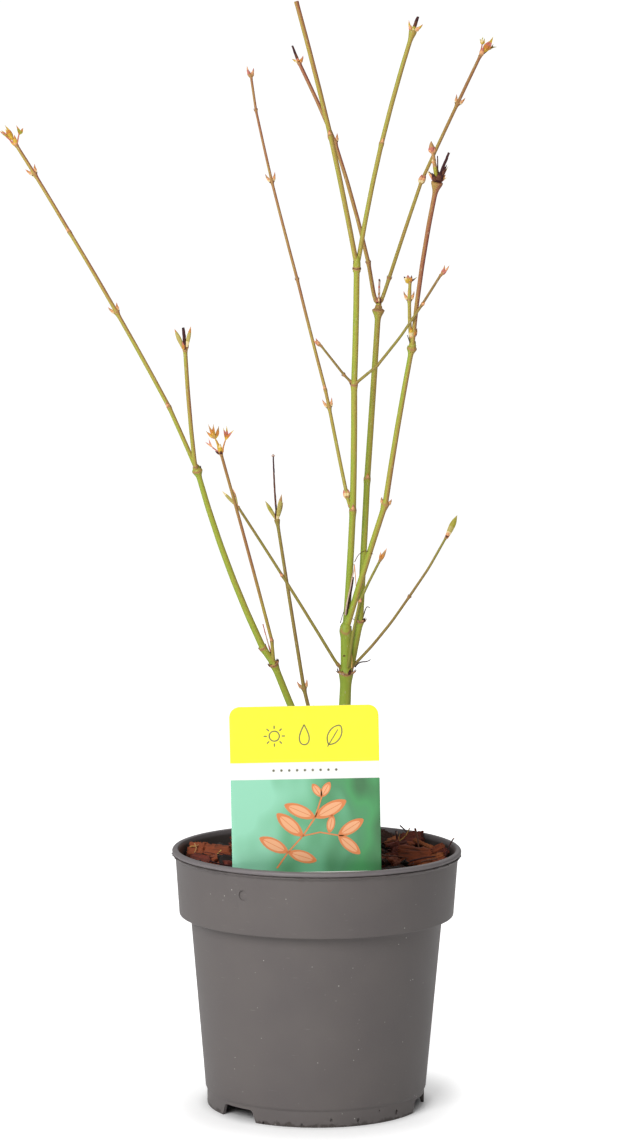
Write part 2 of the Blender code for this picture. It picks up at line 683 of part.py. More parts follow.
def stub_parts(name, stub, foot):
    """A dead stub as a thin tapering tube, with a bud on its end where it has one."""
    way = heading(stub.lean)
    end = foot + way * stub.length
    rings = [(foot, stub.width * 0.55), (foot.lerp(end, 0.5), stub.width * 0.48),
             (end, stub.width * 0.36)]
    parts = [tube(name, rings, BUD_SIDES, turn=0.2)]
    if stub.bud:
        parts.append(spindle(name + "_bud", end - way * 1.0, way, stub.bud, stub.width * 1.3))
    return parts


def node_buds(name, course):
    """A pair of small buds at each inner node, each pair square to the one below."""
    parts = []
    for number, index in enumerate(course.nodes[1:-1]):
        point, radius = course.points[index], course.radii[index]
        along = (course.points[index + 1] - point).normalized()
        side = along.cross(Vector((0, 1, 0))).normalized()
        if number % 2:
            side = along.cross(side).normalized()
        for sign in (-1, 1):
            way = (along + side * sign * 0.75).normalized()
            parts.append(spindle(f"{name}_bud_{number}_{sign}", point, way,
                                 2.2 + radius * 1.7, 1.0 + radius * 0.5))
    return parts


def tip_parts(name, course):
    """Buds, young leaves and stubs on the last node."""
    end = course.points[-1]
    parts = []
    for k, item in enumerate(TIPS.get(name, ())):
        if isinstance(item, Stub):
            parts += stub_parts(f"{name}_stub_{k}", item, end)
        else:
            parts.append(spindle(f"{name}_blade_{k}", end, heading(item.lean),
                                 item.length, item.width))
    return parts


def collar(name, parent):
    """The swollen node in which the twigs of a crown are joined, just past their bough."""
    end = parent.points[-1]
    on = (end - parent.points[-2]).normalized()
    radius = parent.radii[-1]
    rings = [(end, radius * 1.2), (end + on * radius, radius * 1.5),
             (end + on * radius * 2.1, radius * 1.25), (end + on * radius * 2.9, radius * 0.6)]
    return tube(name, rings, BOUGH_SIDES, turn=0.3)


def build_limb(name, limb, grown):
    """Fuse a limb's shoots, buds and stubs, and cut it clear of the limbs it leaves."""
    crown = len(limb.shoots) > 1
    parts = []
    for shoot in limb.shoots:
        course = grown[shoot]
        rings = stations(course, ringed=True)
        if shoot == "trunk":
            rings = flared(rings)
        parts.append(tube(shoot, rings, limb.sides, turn=0.1 * len(parts)))
        if limb.material == "twig":
            parts += node_buds(shoot, course)
            parts += tip_parts(shoot, course)
        if shoot in FOOT_STUBS:
            parts += stub_parts(shoot + "_foot_stub", FOOT_STUBS[shoot],
                                course.points[course.nodes[0]])
    if crown:
        parts.append(collar(name + "_collar", grown[SHOOTS[limb.shoots[0]].parent]))
    whole = parts.pop(0)
    whole.name = name
    whole.data.name = name
    combine(whole, parts, "UNION")
    cutters = []
    for parent in limb.clear_of:
        rings = stations(grown[parent], ringed=True, extend=CLEAR, grow_by=CLEAR)
        cutters.append(tube(parent + "_clear", rings, BOUGH_SIDES))
    combine(whole, cutters, "DIFFERENCE")
    whole.data.materials.clear()
    whole.data.materials.append(material(limb.material))
    whole.data.shade_smooth()
    whole.data.set_sharp_from_angle(angle=math.radians(50))


def build_shrub():
    """Grow every shoot from its parent, then build the limbs."""
    grown = {}
    for name, shoot in SHOOTS.items():
        grown[name] = grow(shoot, grown)
    for name, limb in LIMBS.items():
        build_limb(name, limb, grown)


def main():
    clear_scene()
    build_pot()
    build_medium()
    build_mulch()
    label_plate("plant_label", 0.0, "label")
    build_shrub()


main()
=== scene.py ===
"""A young bare maple shrub in a round nursery pot: its visible pieces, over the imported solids.

The pot stands on z = 0 with its axis on Z, and its front faces -Y.  Every size is in millimetres
until a draft becomes a mesh.  The shrub is grown by the same rule as its solids: each shoot leaves
a node of its parent at a lean, turns a little at each node of its own, and ends in buds, young
folded leaves or a dead stub.
"""

import json
import logging
import math
import random
from dataclasses import dataclass, field
from enum import Enum
from typing import Callable, Sequence

import bmesh
import bpy
import numpy as np
from mathutils import Matrix, Vector

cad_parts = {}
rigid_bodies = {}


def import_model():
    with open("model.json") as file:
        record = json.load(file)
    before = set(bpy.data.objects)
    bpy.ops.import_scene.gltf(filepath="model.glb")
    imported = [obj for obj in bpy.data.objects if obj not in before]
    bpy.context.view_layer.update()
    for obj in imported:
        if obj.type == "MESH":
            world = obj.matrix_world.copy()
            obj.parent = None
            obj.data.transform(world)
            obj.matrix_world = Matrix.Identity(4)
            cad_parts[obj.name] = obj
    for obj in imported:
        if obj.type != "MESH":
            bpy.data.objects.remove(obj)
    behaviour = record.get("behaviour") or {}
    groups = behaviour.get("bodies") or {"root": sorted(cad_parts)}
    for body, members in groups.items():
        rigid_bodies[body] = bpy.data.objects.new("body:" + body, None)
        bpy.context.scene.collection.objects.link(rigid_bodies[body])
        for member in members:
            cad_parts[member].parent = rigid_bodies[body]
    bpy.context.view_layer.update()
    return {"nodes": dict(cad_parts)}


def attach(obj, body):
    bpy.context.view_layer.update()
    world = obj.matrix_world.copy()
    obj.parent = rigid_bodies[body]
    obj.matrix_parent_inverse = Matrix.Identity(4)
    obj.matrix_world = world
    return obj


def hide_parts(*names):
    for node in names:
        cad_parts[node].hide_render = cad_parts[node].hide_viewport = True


LOG = logging.getLogger("potted_maple")
MM = 0.001
BODY = "root"
MARKS = {"ripeness": 1, "cork": 1, "grain": 3}      # what a point may carry, and how many numbers

Array = np.ndarray
Pair = tuple[float, float]
Triple = tuple[float, float, float]
Tree = bpy.types.NodeTree
GraphNode = bpy.types.Node
Socket = bpy.types.NodeSocket
Thing = bpy.types.Object


class Slot(Enum):
    """The record's material slots."""

    POT = "pot_plastic"
    MULCH = "mulch_bark"
    LABEL = "label_card"
    STEM = "stem_bark"
    TWIG = "twig_bark"


# ---- small tools ----
def linear(code: str) -> tuple[float, float, float, float]:
    """Turn an sRGB hex colour to linear light.

    Args:
        code: six hex digits with a leading #.

    Returns:
        The linear red, green, blue and an alpha of 1.
    """
    parts = [int(code[i:i + 2], 16) / 255 for i in (1, 3, 5)]
    lit = [p / 12.92 if p <= 0.04045 else ((p + 0.055) / 1.055) ** 2.4 for p in parts]
    return lit[0], lit[1], lit[2], 1.0


def add_node(tree: Tree, kind: str, inputs: dict | Sequence = (),
             stops: Sequence[tuple[float, str]] = (), **settings: object) -> GraphNode:
    """Add a node, with its settings, and fill its sockets.

    Args:
        tree: the node tree it goes into.
        kind: the node's type without "ShaderNode".
        inputs: a value, an output or a node for each input, in their own order or by name or place.
        stops: place and hex colour of each stop, for a colour ramp.
        **settings: properties of the node.

    Returns:
        The new node.
    """
    node = tree.nodes.new("ShaderNode" + kind)
    for name, value in settings.items():
        setattr(node, name, value)
    for number, (place, code) in enumerate(stops):
        ramp = node.color_ramp.elements
        stop = ramp[number] if number < 2 else ramp.new(place)
        stop.position = place
        stop.color = linear(code)
    for name, value in inputs.items() if isinstance(inputs, dict) else enumerate(inputs):
        source = value.outputs[0] if isinstance(value, GraphNode) else value
        if isinstance(source, Socket):
            tree.links.new(source, node.inputs[name])
        else:
            node.inputs[name].default_value = source
    return node


def turns(count: int) -> Array:
    """Return so many even angles round a circle."""
    return np.arange(count) * math.tau / count


def oval(middle: Pair, radii: Pair, count: int) -> list[Pair]:
    """Return the corners of an oval with this middle and these radii across and up."""
    return [(middle[0] + radii[0] * math.cos(a), middle[1] + radii[1] * math.sin(a)) for a in turns(count)]


def round_axis(out: float, turn: float, height: float = 0.0) -> Array:
    """Return the point so far out from the axis, at a turn in radians and a height."""
    return np.array((out * math.cos(turn), out * math.sin(turn), height))


def runs_along(points: Array) -> Array:
    """Return how far along the line through these points each of them is."""
    return np.concatenate(([0.0], np.cumsum(np.linalg.norm(np.diff(points, axis=0), axis=1))))


def walked(points: Array, run: Array, steps: Array) -> Array:
    """Return the places at these steps along points whose own runs are given."""
    return np.column_stack([np.interp(steps, run, points[:, axis]) for axis in range(3)])


def unit(vectors: Array) -> Array:
    """Scale each vector to a length of one."""
    return vectors / np.maximum(np.linalg.norm(vectors, axis=-1, keepdims=True), 1e-9)


def square_to(way: Array, near: Sequence[float] = (1.0, 0.0, 0.0)) -> tuple[Array, Array]:
    """Find two directions square to a way.

    Args:
        way: a unit direction, or a row of them.
        near: where the first of the two should point as nearly as it can.

    Returns:
        The side direction and the one across it.
    """
    near = np.asarray(near, float)
    side = unit(near - way * np.sum(way * near, axis=-1, keepdims=True))
    return side, np.cross(way, side)


def heading(lean: Pair) -> Array:
    """Return the unit direction that leans by these degrees towards +X and +Y."""
    return unit(np.array((math.tan(math.radians(lean[0])), math.tan(math.radians(lean[1])), 1.0)))


def ripple(draw: random.Random, turns: Sequence[int], reach: float) -> Callable[[Array, Array], Array]:
    """Make a smooth uneven pattern round and along a stem.

    Args:
        draw: the source of its random phases.
        turns: how many waves of each kind go round.
        reach: mm along the stem of the shortest wave.

    Returns:
        A function of angle and run, mostly between -1 and 1.
    """
    waves = [(m, reach * draw.uniform(1.0, 3.5), draw.uniform(0, math.tau), draw.uniform(0, math.tau))
             for m in turns]

    def pattern(angle: Array, run: Array) -> Array:
        """Sum the waves at each angle and run."""
        total = sum(np.sin(m * angle + phase + 1.3 * np.sin(run / long + other))
                    * np.cos(run / (1.7 * long) + other) for m, long, phase, other in waves)
        return total / math.sqrt(len(waves))

    return pattern


# ---- finishes ----
@dataclass(frozen=True)
class Finish:
    """A finish: the material's name, main colour and roughness, and how its nodes are laid."""

    name: str
    colour: str
    roughness: float = 0.5

    def material(self) -> bpy.types.Material:
        """Make this finish's material, once.

        Returns:
            The material.
        """
        found = bpy.data.materials.get(self.name)
        if found:
            return found
        made = bpy.data.materials.new(self.name)
        made.use_nodes = True
        tree = made.node_tree
        shader = tree.nodes["Principled BSDF"]
        shader.inputs["Base Color"].default_value = linear(self.colour)
        shader.inputs["Roughness"].default_value = self.roughness
        made.diffuse_color = linear(self.colour)
        self.paint(tree, shader)
        return made

    def paint(self, tree: Tree, shader: GraphNode) -> None:
        """Lay the finish's own nodes; a plain finish has a fine grain in gloss and relief."""
        grain = self.noise(tree, 0.6, detail=3.0)
        self.relief(tree, shader, grain, 0.03)
        self.vary_gloss(tree, shader, grain, 0.1)

    def place(self, tree: Tree, scale: Triple) -> Socket:
        """Return the place on the object, in pattern steps; scale is steps in a millimetre."""
        spot = add_node(tree, "TexCoord").outputs["Object"]
        return add_node(tree, "Mapping", {"Vector": spot, "Scale": [s / MM for s in scale]}).outputs[0]

    def along(self, tree: Tree, scale: Triple) -> Socket:
        """Return the place in the piece's own grain, in pattern steps."""
        grain = add_node(tree, "Attribute", attribute_name="grain").outputs["Vector"]
        return add_node(tree, "Mapping", {"Vector": grain, "Scale": scale}).outputs[0]

    def noise(self, tree: Tree, where: Socket | float, detail: float = 2.0) -> Socket:
        """Return noise at a place, or on the object with its main grain so many mm across."""
        place = self.place(tree, (1 / where,) * 3) if isinstance(where, float) else where
        return add_node(tree, "TexNoise", {"Vector": place, "Scale": 1.0, "Detail": detail}).outputs[0]

    def relief(self, tree: Tree, shader: GraphNode, height: Socket | GraphNode, depth: float,
               strength: float = 1.0) -> None:
        """Raise the surface by a height pattern.

        Args:
            tree: the node tree.
            shader: the shader that takes the new normal.
            height: the pattern, from 0 to 1.
            depth: mm between its lowest and highest.
            strength: how strongly it shows.
        """
        bump = add_node(tree, "Bump", {"Height": height, "Distance": depth * MM, "Strength": strength})
        tree.links.new(bump.outputs[0], shader.inputs["Normal"])

    def vary_gloss(self, tree: Tree, shader: GraphNode, pattern: Socket, spread: float) -> None:
        """Let the roughness wander by spread each way with a pattern."""
        rough = add_node(tree, "MapRange", (pattern, 0.3, 0.7, self.roughness - spread,
                                            self.roughness + spread))
        tree.links.new(rough.outputs[0], shader.inputs["Roughness"])

    def blend(self, tree: Tree, share: Socket | GraphNode | float, first: Socket | GraphNode | str,
              second: Socket | GraphNode | str, how: str = "MIX") -> Socket:
        """Mix two colours.

        Args:
            tree: the node tree.
            share: how much of the second.
            first: a colour output or a hex colour.
            second: a colour output or a hex colour.
            how: the way of mixing.

        Returns:
            The mixed colour.
        """
        ends = [linear(end) if isinstance(end, str) else end for end in (first, second)]
        return add_node(tree, "Mix", {0: share, 6: ends[0], 7: ends[1]},
                        data_type="RGBA", blend_type=how).outputs[2]


@dataclass(frozen=True)
class LivingBark(Finish):
    """Smooth young maple bark: green where fresh, ripening through olive to red and purple.

    Growth draws it out lengthwise, so its colour runs in fine streaks.  Lenticels dot it with
    pale corky dashes, and a waxy cuticle gives a soft gloss.
    """

    stops: tuple[tuple[float, str], ...] = (
        (0.0, "#7C9236"), (0.2, "#8FA338"), (0.33, "#A0A43C"), (0.42, "#A59C44"), (0.52, "#AC9448"),
        (0.62, "#A47E48"), (0.72, "#9E6648"), (0.84, "#8A4C3A"), (1.0, "#4E262A"))
    cork: str = "#AC8052"
    scar: str = "#3C221A"
    weathered: float = 0.0          # how far dust and algae have dulled the skin

    def paint(self, tree: Tree, shader: GraphNode) -> None:
        """Lay the ripening colour, its streaks, lenticels and the corky rings at the nodes."""
        shader.inputs["Specular IOR Level"].default_value = 0.25
        ripeness, corky = (add_node(tree, "Attribute", attribute_name=mark).outputs["Fac"]
                           for mark in ("ripeness", "cork"))
        # streaks about 0.5 mm apart and 9 mm long, and clouds of about 6 mm
        streak = self.noise(tree, self.along(tree, (2.0, 2.0, 0.11)), 4.0)
        cloud = self.noise(tree, self.along(tree, (0.16, 0.16, 0.07)))
        shift = add_node(tree, "MapRange", (streak, 0.25, 0.75, -0.075, 0.075))
        drift = add_node(tree, "MapRange", (cloud, 0.3, 0.7, -0.05, 0.05))
        both = add_node(tree, "Math", (shift, drift), operation="ADD")
        ripe = add_node(tree, "Math", (ripeness, both), operation="ADD")
        skin = self.blend(tree, self.weathered, add_node(tree, "ValToRGB", (ripe,), self.stops), "#5C5438")

        # lenticels: dashes 0.3 mm wide and 1 mm long, a few in each square centimetre
        dashed = self.along(tree, (0.62, 0.62, 0.2))
        cells = add_node(tree, "TexVoronoi", {"Vector": dashed, "Scale": 1.0})
        dot = add_node(tree, "MapRange", (cells, 0.16, 0.1))
        dotted = add_node(tree, "Math", (dot, 0.45), operation="MULTIPLY")
        skin = self.blend(tree, dotted, skin, "#C9BE9A")

        # corky rings: tan at their edges, with a dark line where old scales fell
        share = add_node(tree, "MapRange", (corky, 0.12, 0.6))
        ring = add_node(tree, "ValToRGB", (corky,), ((0.0, self.cork), (0.72, self.cork), (0.95, self.scar)))
        tree.links.new(self.blend(tree, share, skin, ring), shader.inputs["Base Color"])
        self.relief(tree, shader, add_node(tree, "Math", (streak, dot), operation="ADD"), 0.05)
        self.vary_gloss(tree, shader, streak, 0.08)


@dataclass(frozen=True)
class YoungTissue(Finish):
    """Bud scales and unfolding leaves: thin, faintly ribbed and softly shining."""

    def paint(self, tree: Tree, shader: GraphNode) -> None:
        """Lay the ribs, about 0.3 mm apart, in gloss and relief."""
        shader.inputs["Specular IOR Level"].default_value = 0.3
        ribbed = self.noise(tree, self.place(tree, (3.2, 3.2, 0.5)))
        self.relief(tree, shader, ribbed, 0.06)
        self.vary_gloss(tree, shader, ribbed, 0.1)


@dataclass(frozen=True)
class MouldedPlastic(Finish):
    """Injection-moulded recycled polypropylene: an even taupe grey with a dull skin.

    The steel mould leaves a very fine orange peel, and the regrind shows as pale specks.  Dust
    and scuffs catch on the skin as paler dashes.
    """

    speck: str = "#CFCAC4"
    # the colour of damp earth on the foot, also used for the painted shade inside the wall
    soil_and_shade: str = "#2A211C"

    def paint(self, tree: Tree, shader: GraphNode) -> None:
        """Lay the skin's clouding, specks, scuffs, the painted shade inside the wall, the soiled foot, the
        lip's paler top, partly rubbed and partly a painted highlight, and the orange peel.
        """
        cloud = self.noise(tree, 26.0)
        marked = add_node(tree, "ValToRGB", (cloud,), ((0.3, self.colour), (0.7, "#625C5A")))
        # grains of dust and regrind: 0.5 mm, 5 mm apart in patches, with a few larger flecks
        patchy = add_node(tree, "MapRange", (self.noise(tree, 19.0), 0.54, 0.64))
        for spacing, low, high, share in ((3.2, 0.1, 0.04, patchy), (19.0, 0.032, 0.018, 0.85)):
            spot = self.place(tree, (1 / spacing,) * 3)
            cells = add_node(tree, "TexVoronoi", {"Vector": spot, "Scale": 1.0})
            speck = add_node(tree, "MapRange", (cells, low, high, 0.0, 0.9))
            some = add_node(tree, "Math", (speck, share), operation="MULTIPLY")
            marked = self.blend(tree, some, marked, self.speck)
        # scuffs run round the wall: 4 mm long and 0.4 mm high
        scuffs = self.noise(tree, self.place(tree, (0.16, 0.16, 1.9)), 3.0)
        scuff = add_node(tree, "MapRange", (scuffs, 0.7, 0.78, 0.0, 0.4))
        marked = self.blend(tree, scuff, marked, "#8A8582")
        # painted shade: the wall's inner face is darkened to a dark earth brown
        facing = add_node(tree, "NewGeometry").outputs["Normal"]
        turned = add_node(tree, "VectorMath", (self.place(tree, (1, 1, 0)), facing), operation="DOT_PRODUCT")
        inside = add_node(tree, "MapRange", (turned.outputs["Value"], -8.0, -30.0, 0.0, 0.72))
        marked = self.blend(tree, inside, marked, self.soil_and_shade)
        # damp earth clings to the lowest 3 mm in blots, and the lip's top is painted paler, partly as rubbing
        # and partly as a painted highlight
        height = add_node(tree, "SeparateXYZ", (self.place(tree, (1, 1, 1)),)).outputs[2]
        blots = add_node(tree, "Math", (self.noise(tree, 3.0, 4.0), 6.5), operation="MULTIPLY")
        depth = add_node(tree, "Math", (height, blots), operation="SUBTRACT")
        soiled = add_node(tree, "MapRange", (depth, -1.6, -2.6, 0.0, 0.7))
        rubbed_and_highlight = add_node(tree, "MapRange", (height, 113.4, 114.4, 0.0, 0.35))
        marked = self.blend(tree, soiled, marked, self.soil_and_shade)
        tree.links.new(self.blend(tree, rubbed_and_highlight, marked, "#8E888C"), shader.inputs["Base Color"])
        self.relief(tree, shader, self.noise(tree, 0.9, 3.0), 0.05, 0.6)
        self.vary_gloss(tree, shader, cloud, 0.05)


@dataclass(frozen=True)
class Peat(Finish):
    """Damp peat and fine bark: crumbs of 1 to 3 mm, nearly black, with a few paler fibres."""

    def paint(self, tree: Tree, shader: GraphNode) -> None:
        """Lay the crumbs and the fibres between them."""
        crumbs = self.noise(tree, 2.2, detail=5.0)
        tint = add_node(tree, "ValToRGB", (crumbs,),
                        ((0.35, "#120C08"), (0.6, self.colour), (0.8, "#4A3222")))
        tree.links.new(tint.outputs[0], shader.inputs["Base Color"])
        self.relief(tree, shader, crumbs, 1.2)
        self.vary_gloss(tree, shader, crumbs, 0.04)


@dataclass(frozen=True)
class TornBark(Finish):
    """Torn conifer bark: dry fibres lie lengthwise, so it is ribbed, matt and uneven in tone."""

    def paint(self, tree: Tree, shader: GraphNode) -> None:
        """Lay the fibres, 0.5 mm apart, and the darker layers between them."""
        fibre = self.noise(tree, self.along(tree, (0.16, 1.9, 1.9)), 4.0)
        layer = self.noise(tree, self.along(tree, (0.12, 0.3, 0.5)))
        worn = add_node(tree, "Math", (fibre, layer), operation="MULTIPLY")
        tone = add_node(tree, "ValToRGB", (worn,), ((0.12, "#8A8A8A"), (0.26, "#FFFFFF"), (0.42, "#FFF2E4")))
        tree.links.new(self.blend(tree, 1.0, self.colour, tone, "MULTIPLY"), shader.inputs["Base Color"])
        self.relief(tree, shader, fibre, 0.5)
        self.vary_gloss(tree, shader, fibre, 0.06)


@dataclass(frozen=True)
class CoatedCard(Finish):
    """Printed and varnished card: flat ink under a thin even varnish, a little short of gloss."""

    def paint(self, tree: Tree, shader: GraphNode) -> None:
        """Lay the varnish's faint unevenness."""
        varnish = self.noise(tree, 1.4)
        self.relief(tree, shader, varnish, 0.01, 0.4)
        self.vary_gloss(tree, shader, varnish, 0.05)


@dataclass(frozen=True)
class GardenBlur(CoatedCard):
    """A soft out-of-focus green ground, printed on the card."""

    def paint(self, tree: Tree, shader: GraphNode) -> None:
        """Lay the greens in broad soft clouds, then the varnish."""
        soft = self.noise(tree, self.place(tree, (1 / 15, 1 / 30, 1 / 26)), 1.0)
        across = add_node(tree, "SeparateXYZ", (self.place(tree, (1 / 65, 1, 1)),))
        both = add_node(tree, "Math", (soft, across), operation="SUBTRACT")
        greens = add_node(tree, "ValToRGB", (both,),
                          ((0.05, "#44784E"), (0.24, "#4E9C60"), (0.4, self.colour), (0.56, "#6CB488"),
                           (0.85, "#96D8B8")))
        tree.links.new(greens.outputs[0], shader.inputs["Base Color"])
        super().paint(tree, shader)


@dataclass(frozen=True)
class LightTable(Finish):
    """Opal acrylic that glows as if lit from below, with a shadow painted into its glow under and round the
    pot's foot.

    The sheet looks brighter than it shines, which keeps the pot's foot from being lit up.
    """

    seen: float = 0.85          # how bright the open sheet looks
    shining: float = 0.3        # how much light it gives

    def paint(self, tree: Tree, shader: GraphNode) -> None:
        """Lay the glow, with a painted shadow under the pot, for 20 mm round its foot, and in front of it."""
        spot = add_node(tree, "TexCoord").outputs["Object"]
        flat = add_node(tree, "VectorMath", (spot, (1, 1, 0)), operation="MULTIPLY")
        forward = add_node(tree, "Mapping", {"Vector": spot, "Location": (0.0, 0.018, 0.0),
                                             "Scale": (1.0, 0.6, 0.0)})
        out, ahead = (add_node(tree, "VectorMath", (way,), operation="LENGTH").outputs["Value"]
                      for way in (flat, forward))
        # painted shadow round the foot, further round it, and in front of it: metres out, and shades
        near, far, painted_front_shadow = (add_node(tree, "MapRange", limits, interpolation_type="SMOOTHSTEP")
                           for limits in ((out, 0.044, 0.055, 0.0, 0.56), (out, 0.050, 0.086, 0.0, 0.44),
                                          (ahead, 0.046, 0.084, 0.72, 1.0)))
        painted_shadow = add_node(tree, "Math", (near, far), operation="ADD")
        painted_shadow = add_node(tree, "Math", (painted_shadow, painted_front_shadow), operation="MULTIPLY")
        eye = add_node(tree, "LightPath").outputs["Is Camera Ray"]
        glow = add_node(tree, "MapRange", (eye, 0.0, 1.0, self.shining, self.seen))
        shader.inputs["Emission Color"].default_value = linear("#FFFFFF")
        lit = add_node(tree, "Math", (painted_shadow, glow), operation="MULTIPLY")
        tree.links.new(lit.outputs[0], shader.inputs["Emission Strength"])
        self.vary_gloss(tree, shader, self.noise(tree, 40.0), 0.05)


STEM = LivingBark("maple_bark_stem", "#82A02E", 0.48)
TWIG = LivingBark("maple_bark_twig", "#A5A338", 0.5)
THIN_TWIG = LivingBark("maple_bark_thin_twig", "#8C8448", 0.55, weathered=0.35)
INK = 0.05                  # mm that ink stands proud
POLYPROPYLENE = MouldedPlastic("polypropylene_moulded", "#5C5655", 0.5)
PEAT = Peat("peat_crumbled", "#2A1A10", 0.92)
YELLOW_CARD = CoatedCard("card_printed_yellow", "#FFF534", 0.35)
WHITE_CARD = CoatedCard("card_coated_white", "#F4F4F0", 0.35)
GREEN_CARD = GardenBlur("card_printed_green", "#549468", 0.35)
GREY_INK = CoatedCard("ink_warm_grey", "#6B6A52", 0.4)
ORANGE_INK = CoatedCard("ink_orange", "#E0864E", 0.35)
PEACH_INK = CoatedCard("ink_peach", "#F0B183", 0.35)


class Tint(Enum):
    """The plain colours of small plant parts, each a finish of its own."""

    CREAM = YoungTissue("bud_scale_cream", "#E2CC98", 0.5)
    PEACH = YoungTissue("bud_scale_peach", "#DDA070", 0.5)
    PINK = YoungTissue("bud_scale_pink", "#C07262", 0.5)
    GOLD = YoungTissue("leaf_young_gold", "#CDA83C", 0.5)
    ORANGE = YoungTissue("leaf_young_orange", "#C48038", 0.5)
    OLIVE = YoungTissue("leaf_young_olive", "#A39A38", 0.5)
    SAGE = YoungTissue("leaf_young_sage", "#B3A45A", 0.5)
    TAN = YoungTissue("bud_scale_tan", "#B48A58", 0.6)
    UMBER = YoungTissue("bud_scale_umber", "#5E3420", 0.6)
    DEAD = YoungTissue("dead_shoot_purple", "#3E1C1E", 0.75)
    PALE = YoungTissue("dead_shoot_pale", "#CDB0A2", 0.75)
    STRAW = YoungTissue("straw_dry", "#D0A458", 0.6)


class Chipped(Enum):
    """The tones of bark chips, each a finish of its own."""

    RUST = TornBark("bark_torn_rust", "#8E4626", 0.85)
    RED = TornBark("bark_torn_red", "#6E2E20", 0.85)
    ORANGE = TornBark("bark_torn_orange", "#A25C32", 0.85)
    UMBER = TornBark("bark_torn_umber", "#3C2219", 0.9)
    BLACK = TornBark("bark_torn_black", "#1E1410", 0.9)


# ---- drafts: where meshes are gathered ----
class Draft:
    """Points, faces, finishes and marks of one mesh, in millimetres."""

    def __init__(self) -> None:
        """Start with nothing in it."""
        self.points: list[Array] = []
        self.faces: list[tuple[int, ...]] = []
        self.finishes: list[Finish] = []
        self.slots: list[int] = []
        self.marks: dict[str, list[Array]] = {mark: [] for mark in MARKS}
        self.count = 0

    def add(self, points: Array, faces: Sequence[Sequence[int]], finish: Finish | Sequence[Finish],
            **marks: Array) -> None:
        """Add points, and faces that count them from nought.

        Args:
            points: one row for each point.
            faces: places in points, for each face.
            finish: one finish, or one for each face.
            **marks: numbers that each point carries, by name.
        """
        points = np.asarray(points, float).reshape(-1, 3)
        start = self.count
        self.points.append(points)
        self.faces.extend(tuple(start + i for i in face) for face in faces)
        each = [finish] * len(faces) if isinstance(finish, Finish) else finish
        for one in each:
            if one not in self.finishes:
                self.finishes.append(one)
            self.slots.append(self.finishes.index(one))
        for mark, width in MARKS.items():
            blank = np.zeros((len(points), width))
            self.marks[mark].append(np.reshape(marks[mark], (-1, width)) if mark in marks else blank)
        self.count += len(points)

    def loft(self, rings: Array, finish: Finish | Sequence[Finish], **marks: Array) -> None:
        """Skin a row of rings as one closed solid.

        Args:
            rings: rings by points by XYZ, turning the same way.
            finish: one finish, or one for each band between rings.
            **marks: numbers for each point, rings by points.
        """
        count, sides = rings.shape[:2]
        faces = [(i * sides + k, i * sides + (k + 1) % sides, (i + 1) * sides + (k + 1) % sides,
                  (i + 1) * sides + k) for i in range(count - 1) for k in range(sides)]
        each = [finish] * (count - 1) if isinstance(finish, Finish) else list(finish)
        bands = [one for one in each for _ in range(sides)]
        faces.append(tuple(range(sides))[::-1])
        faces.append(tuple((count - 1) * sides + k for k in range(sides)))
        self.add(rings, faces, [*bands, each[0], each[-1]], **marks)

    def plate(self, outline: Sequence[Pair], lift: Callable[[Array], Array], finish: Finish,
              thick: float) -> None:
        """Add a thin closed plate.

        Args:
            outline: its corners as flat pairs.
            lift: turns rows of (u, v, height) into places.
            finish: its finish.
            thick: its thickness.
        """
        flat = np.array(outline, float)
        tops = np.column_stack((flat, np.full(len(flat), thick)))
        feet = np.column_stack((flat, np.zeros(len(flat))))
        self.loft(np.stack((lift(feet), lift(tops))), finish)

    def form(self, name: str, smooth: float) -> Thing:
        """Turn the draft into an object.

        Args:
            name: the object's name.
            smooth: edges sharper than this, in degrees, stay sharp.

        Returns:
            The object.
        """
        mesh = bpy.data.meshes.new(name)
        mesh.from_pydata((np.concatenate(self.points) * MM).tolist(), [], self.faces)
        mesh.polygons.foreach_set("material_index", self.slots)
        for mark, width in MARKS.items():
            rows = np.concatenate(self.marks[mark])
            if rows.any():
                kind, key = ("FLOAT", "value") if width == 1 else ("FLOAT_VECTOR", "vector")
                mesh.attributes.new(mark, kind, "POINT").data.foreach_set(key, rows.ravel())
        for finish in self.finishes:
            mesh.materials.append(finish.material())
        made = bpy.data.objects.new(name, mesh)
        bpy.context.collection.objects.link(made)
        face_out(made, smooth)
        return made

    def piece(self, name: str, slot: Slot, node: str, smooth: float = 40.0) -> None:
        """Turn the draft into a piece for the CAD node it stands for."""
        place(self.form(name, smooth), slot, node)


def face_out(thing: Thing, smooth: float) -> None:
    """Turn an object's faces outward and shade it smooth.

    Args:
        thing: the object.
        smooth: edges sharper than this, in degrees, stay sharp.
    """
    form = bmesh.new()
    form.from_mesh(thing.data)
    bmesh.ops.recalc_face_normals(form, faces=form.faces)
    form.to_mesh(thing.data)
    form.free()
    thing.data.shade_smooth()
    thing.data.set_sharp_from_angle(angle=math.radians(smooth))


def place(thing: Thing, slot: Slot, node: str) -> None:
    """Let a finished piece ride on the body.

    Args:
        thing: the piece.
        slot: its material slot; not used.
        node: the CAD node it stands for.
    """
    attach(thing, BODY)
    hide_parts(node)
    LOG.info("%s: %d faces", thing.name, len(thing.data.polygons))


def slab(rows: int, columns: int) -> list[tuple[int, ...]]:
    """List the faces of a plate made of two like grids of points, its front's points first.

    Args:
        rows: rows of points in a grid.
        columns: points in a row.

    Returns:
        The front and back of each cell in turn, then the rim.
    """
    count, last = rows * columns, columns - 1
    faces = []
    for a in (i * columns + j for i in range(rows - 1) for j in range(last)):
        b = a + columns
        faces.append((a, b, b + 1, a + 1))
        faces.append((count + a, count + a + 1, count + b + 1, count + b))
    rim = [i * columns for i in range(rows - 1)] + [(rows - 1) * columns + j for j in range(last)]
    rim += [i * columns + last for i in range(rows - 1, 0, -1)] + list(range(last, 0, -1))
    return faces + [(a, count + a, count + b, b) for a, b in zip(rim, rim[1:] + rim[:1])]


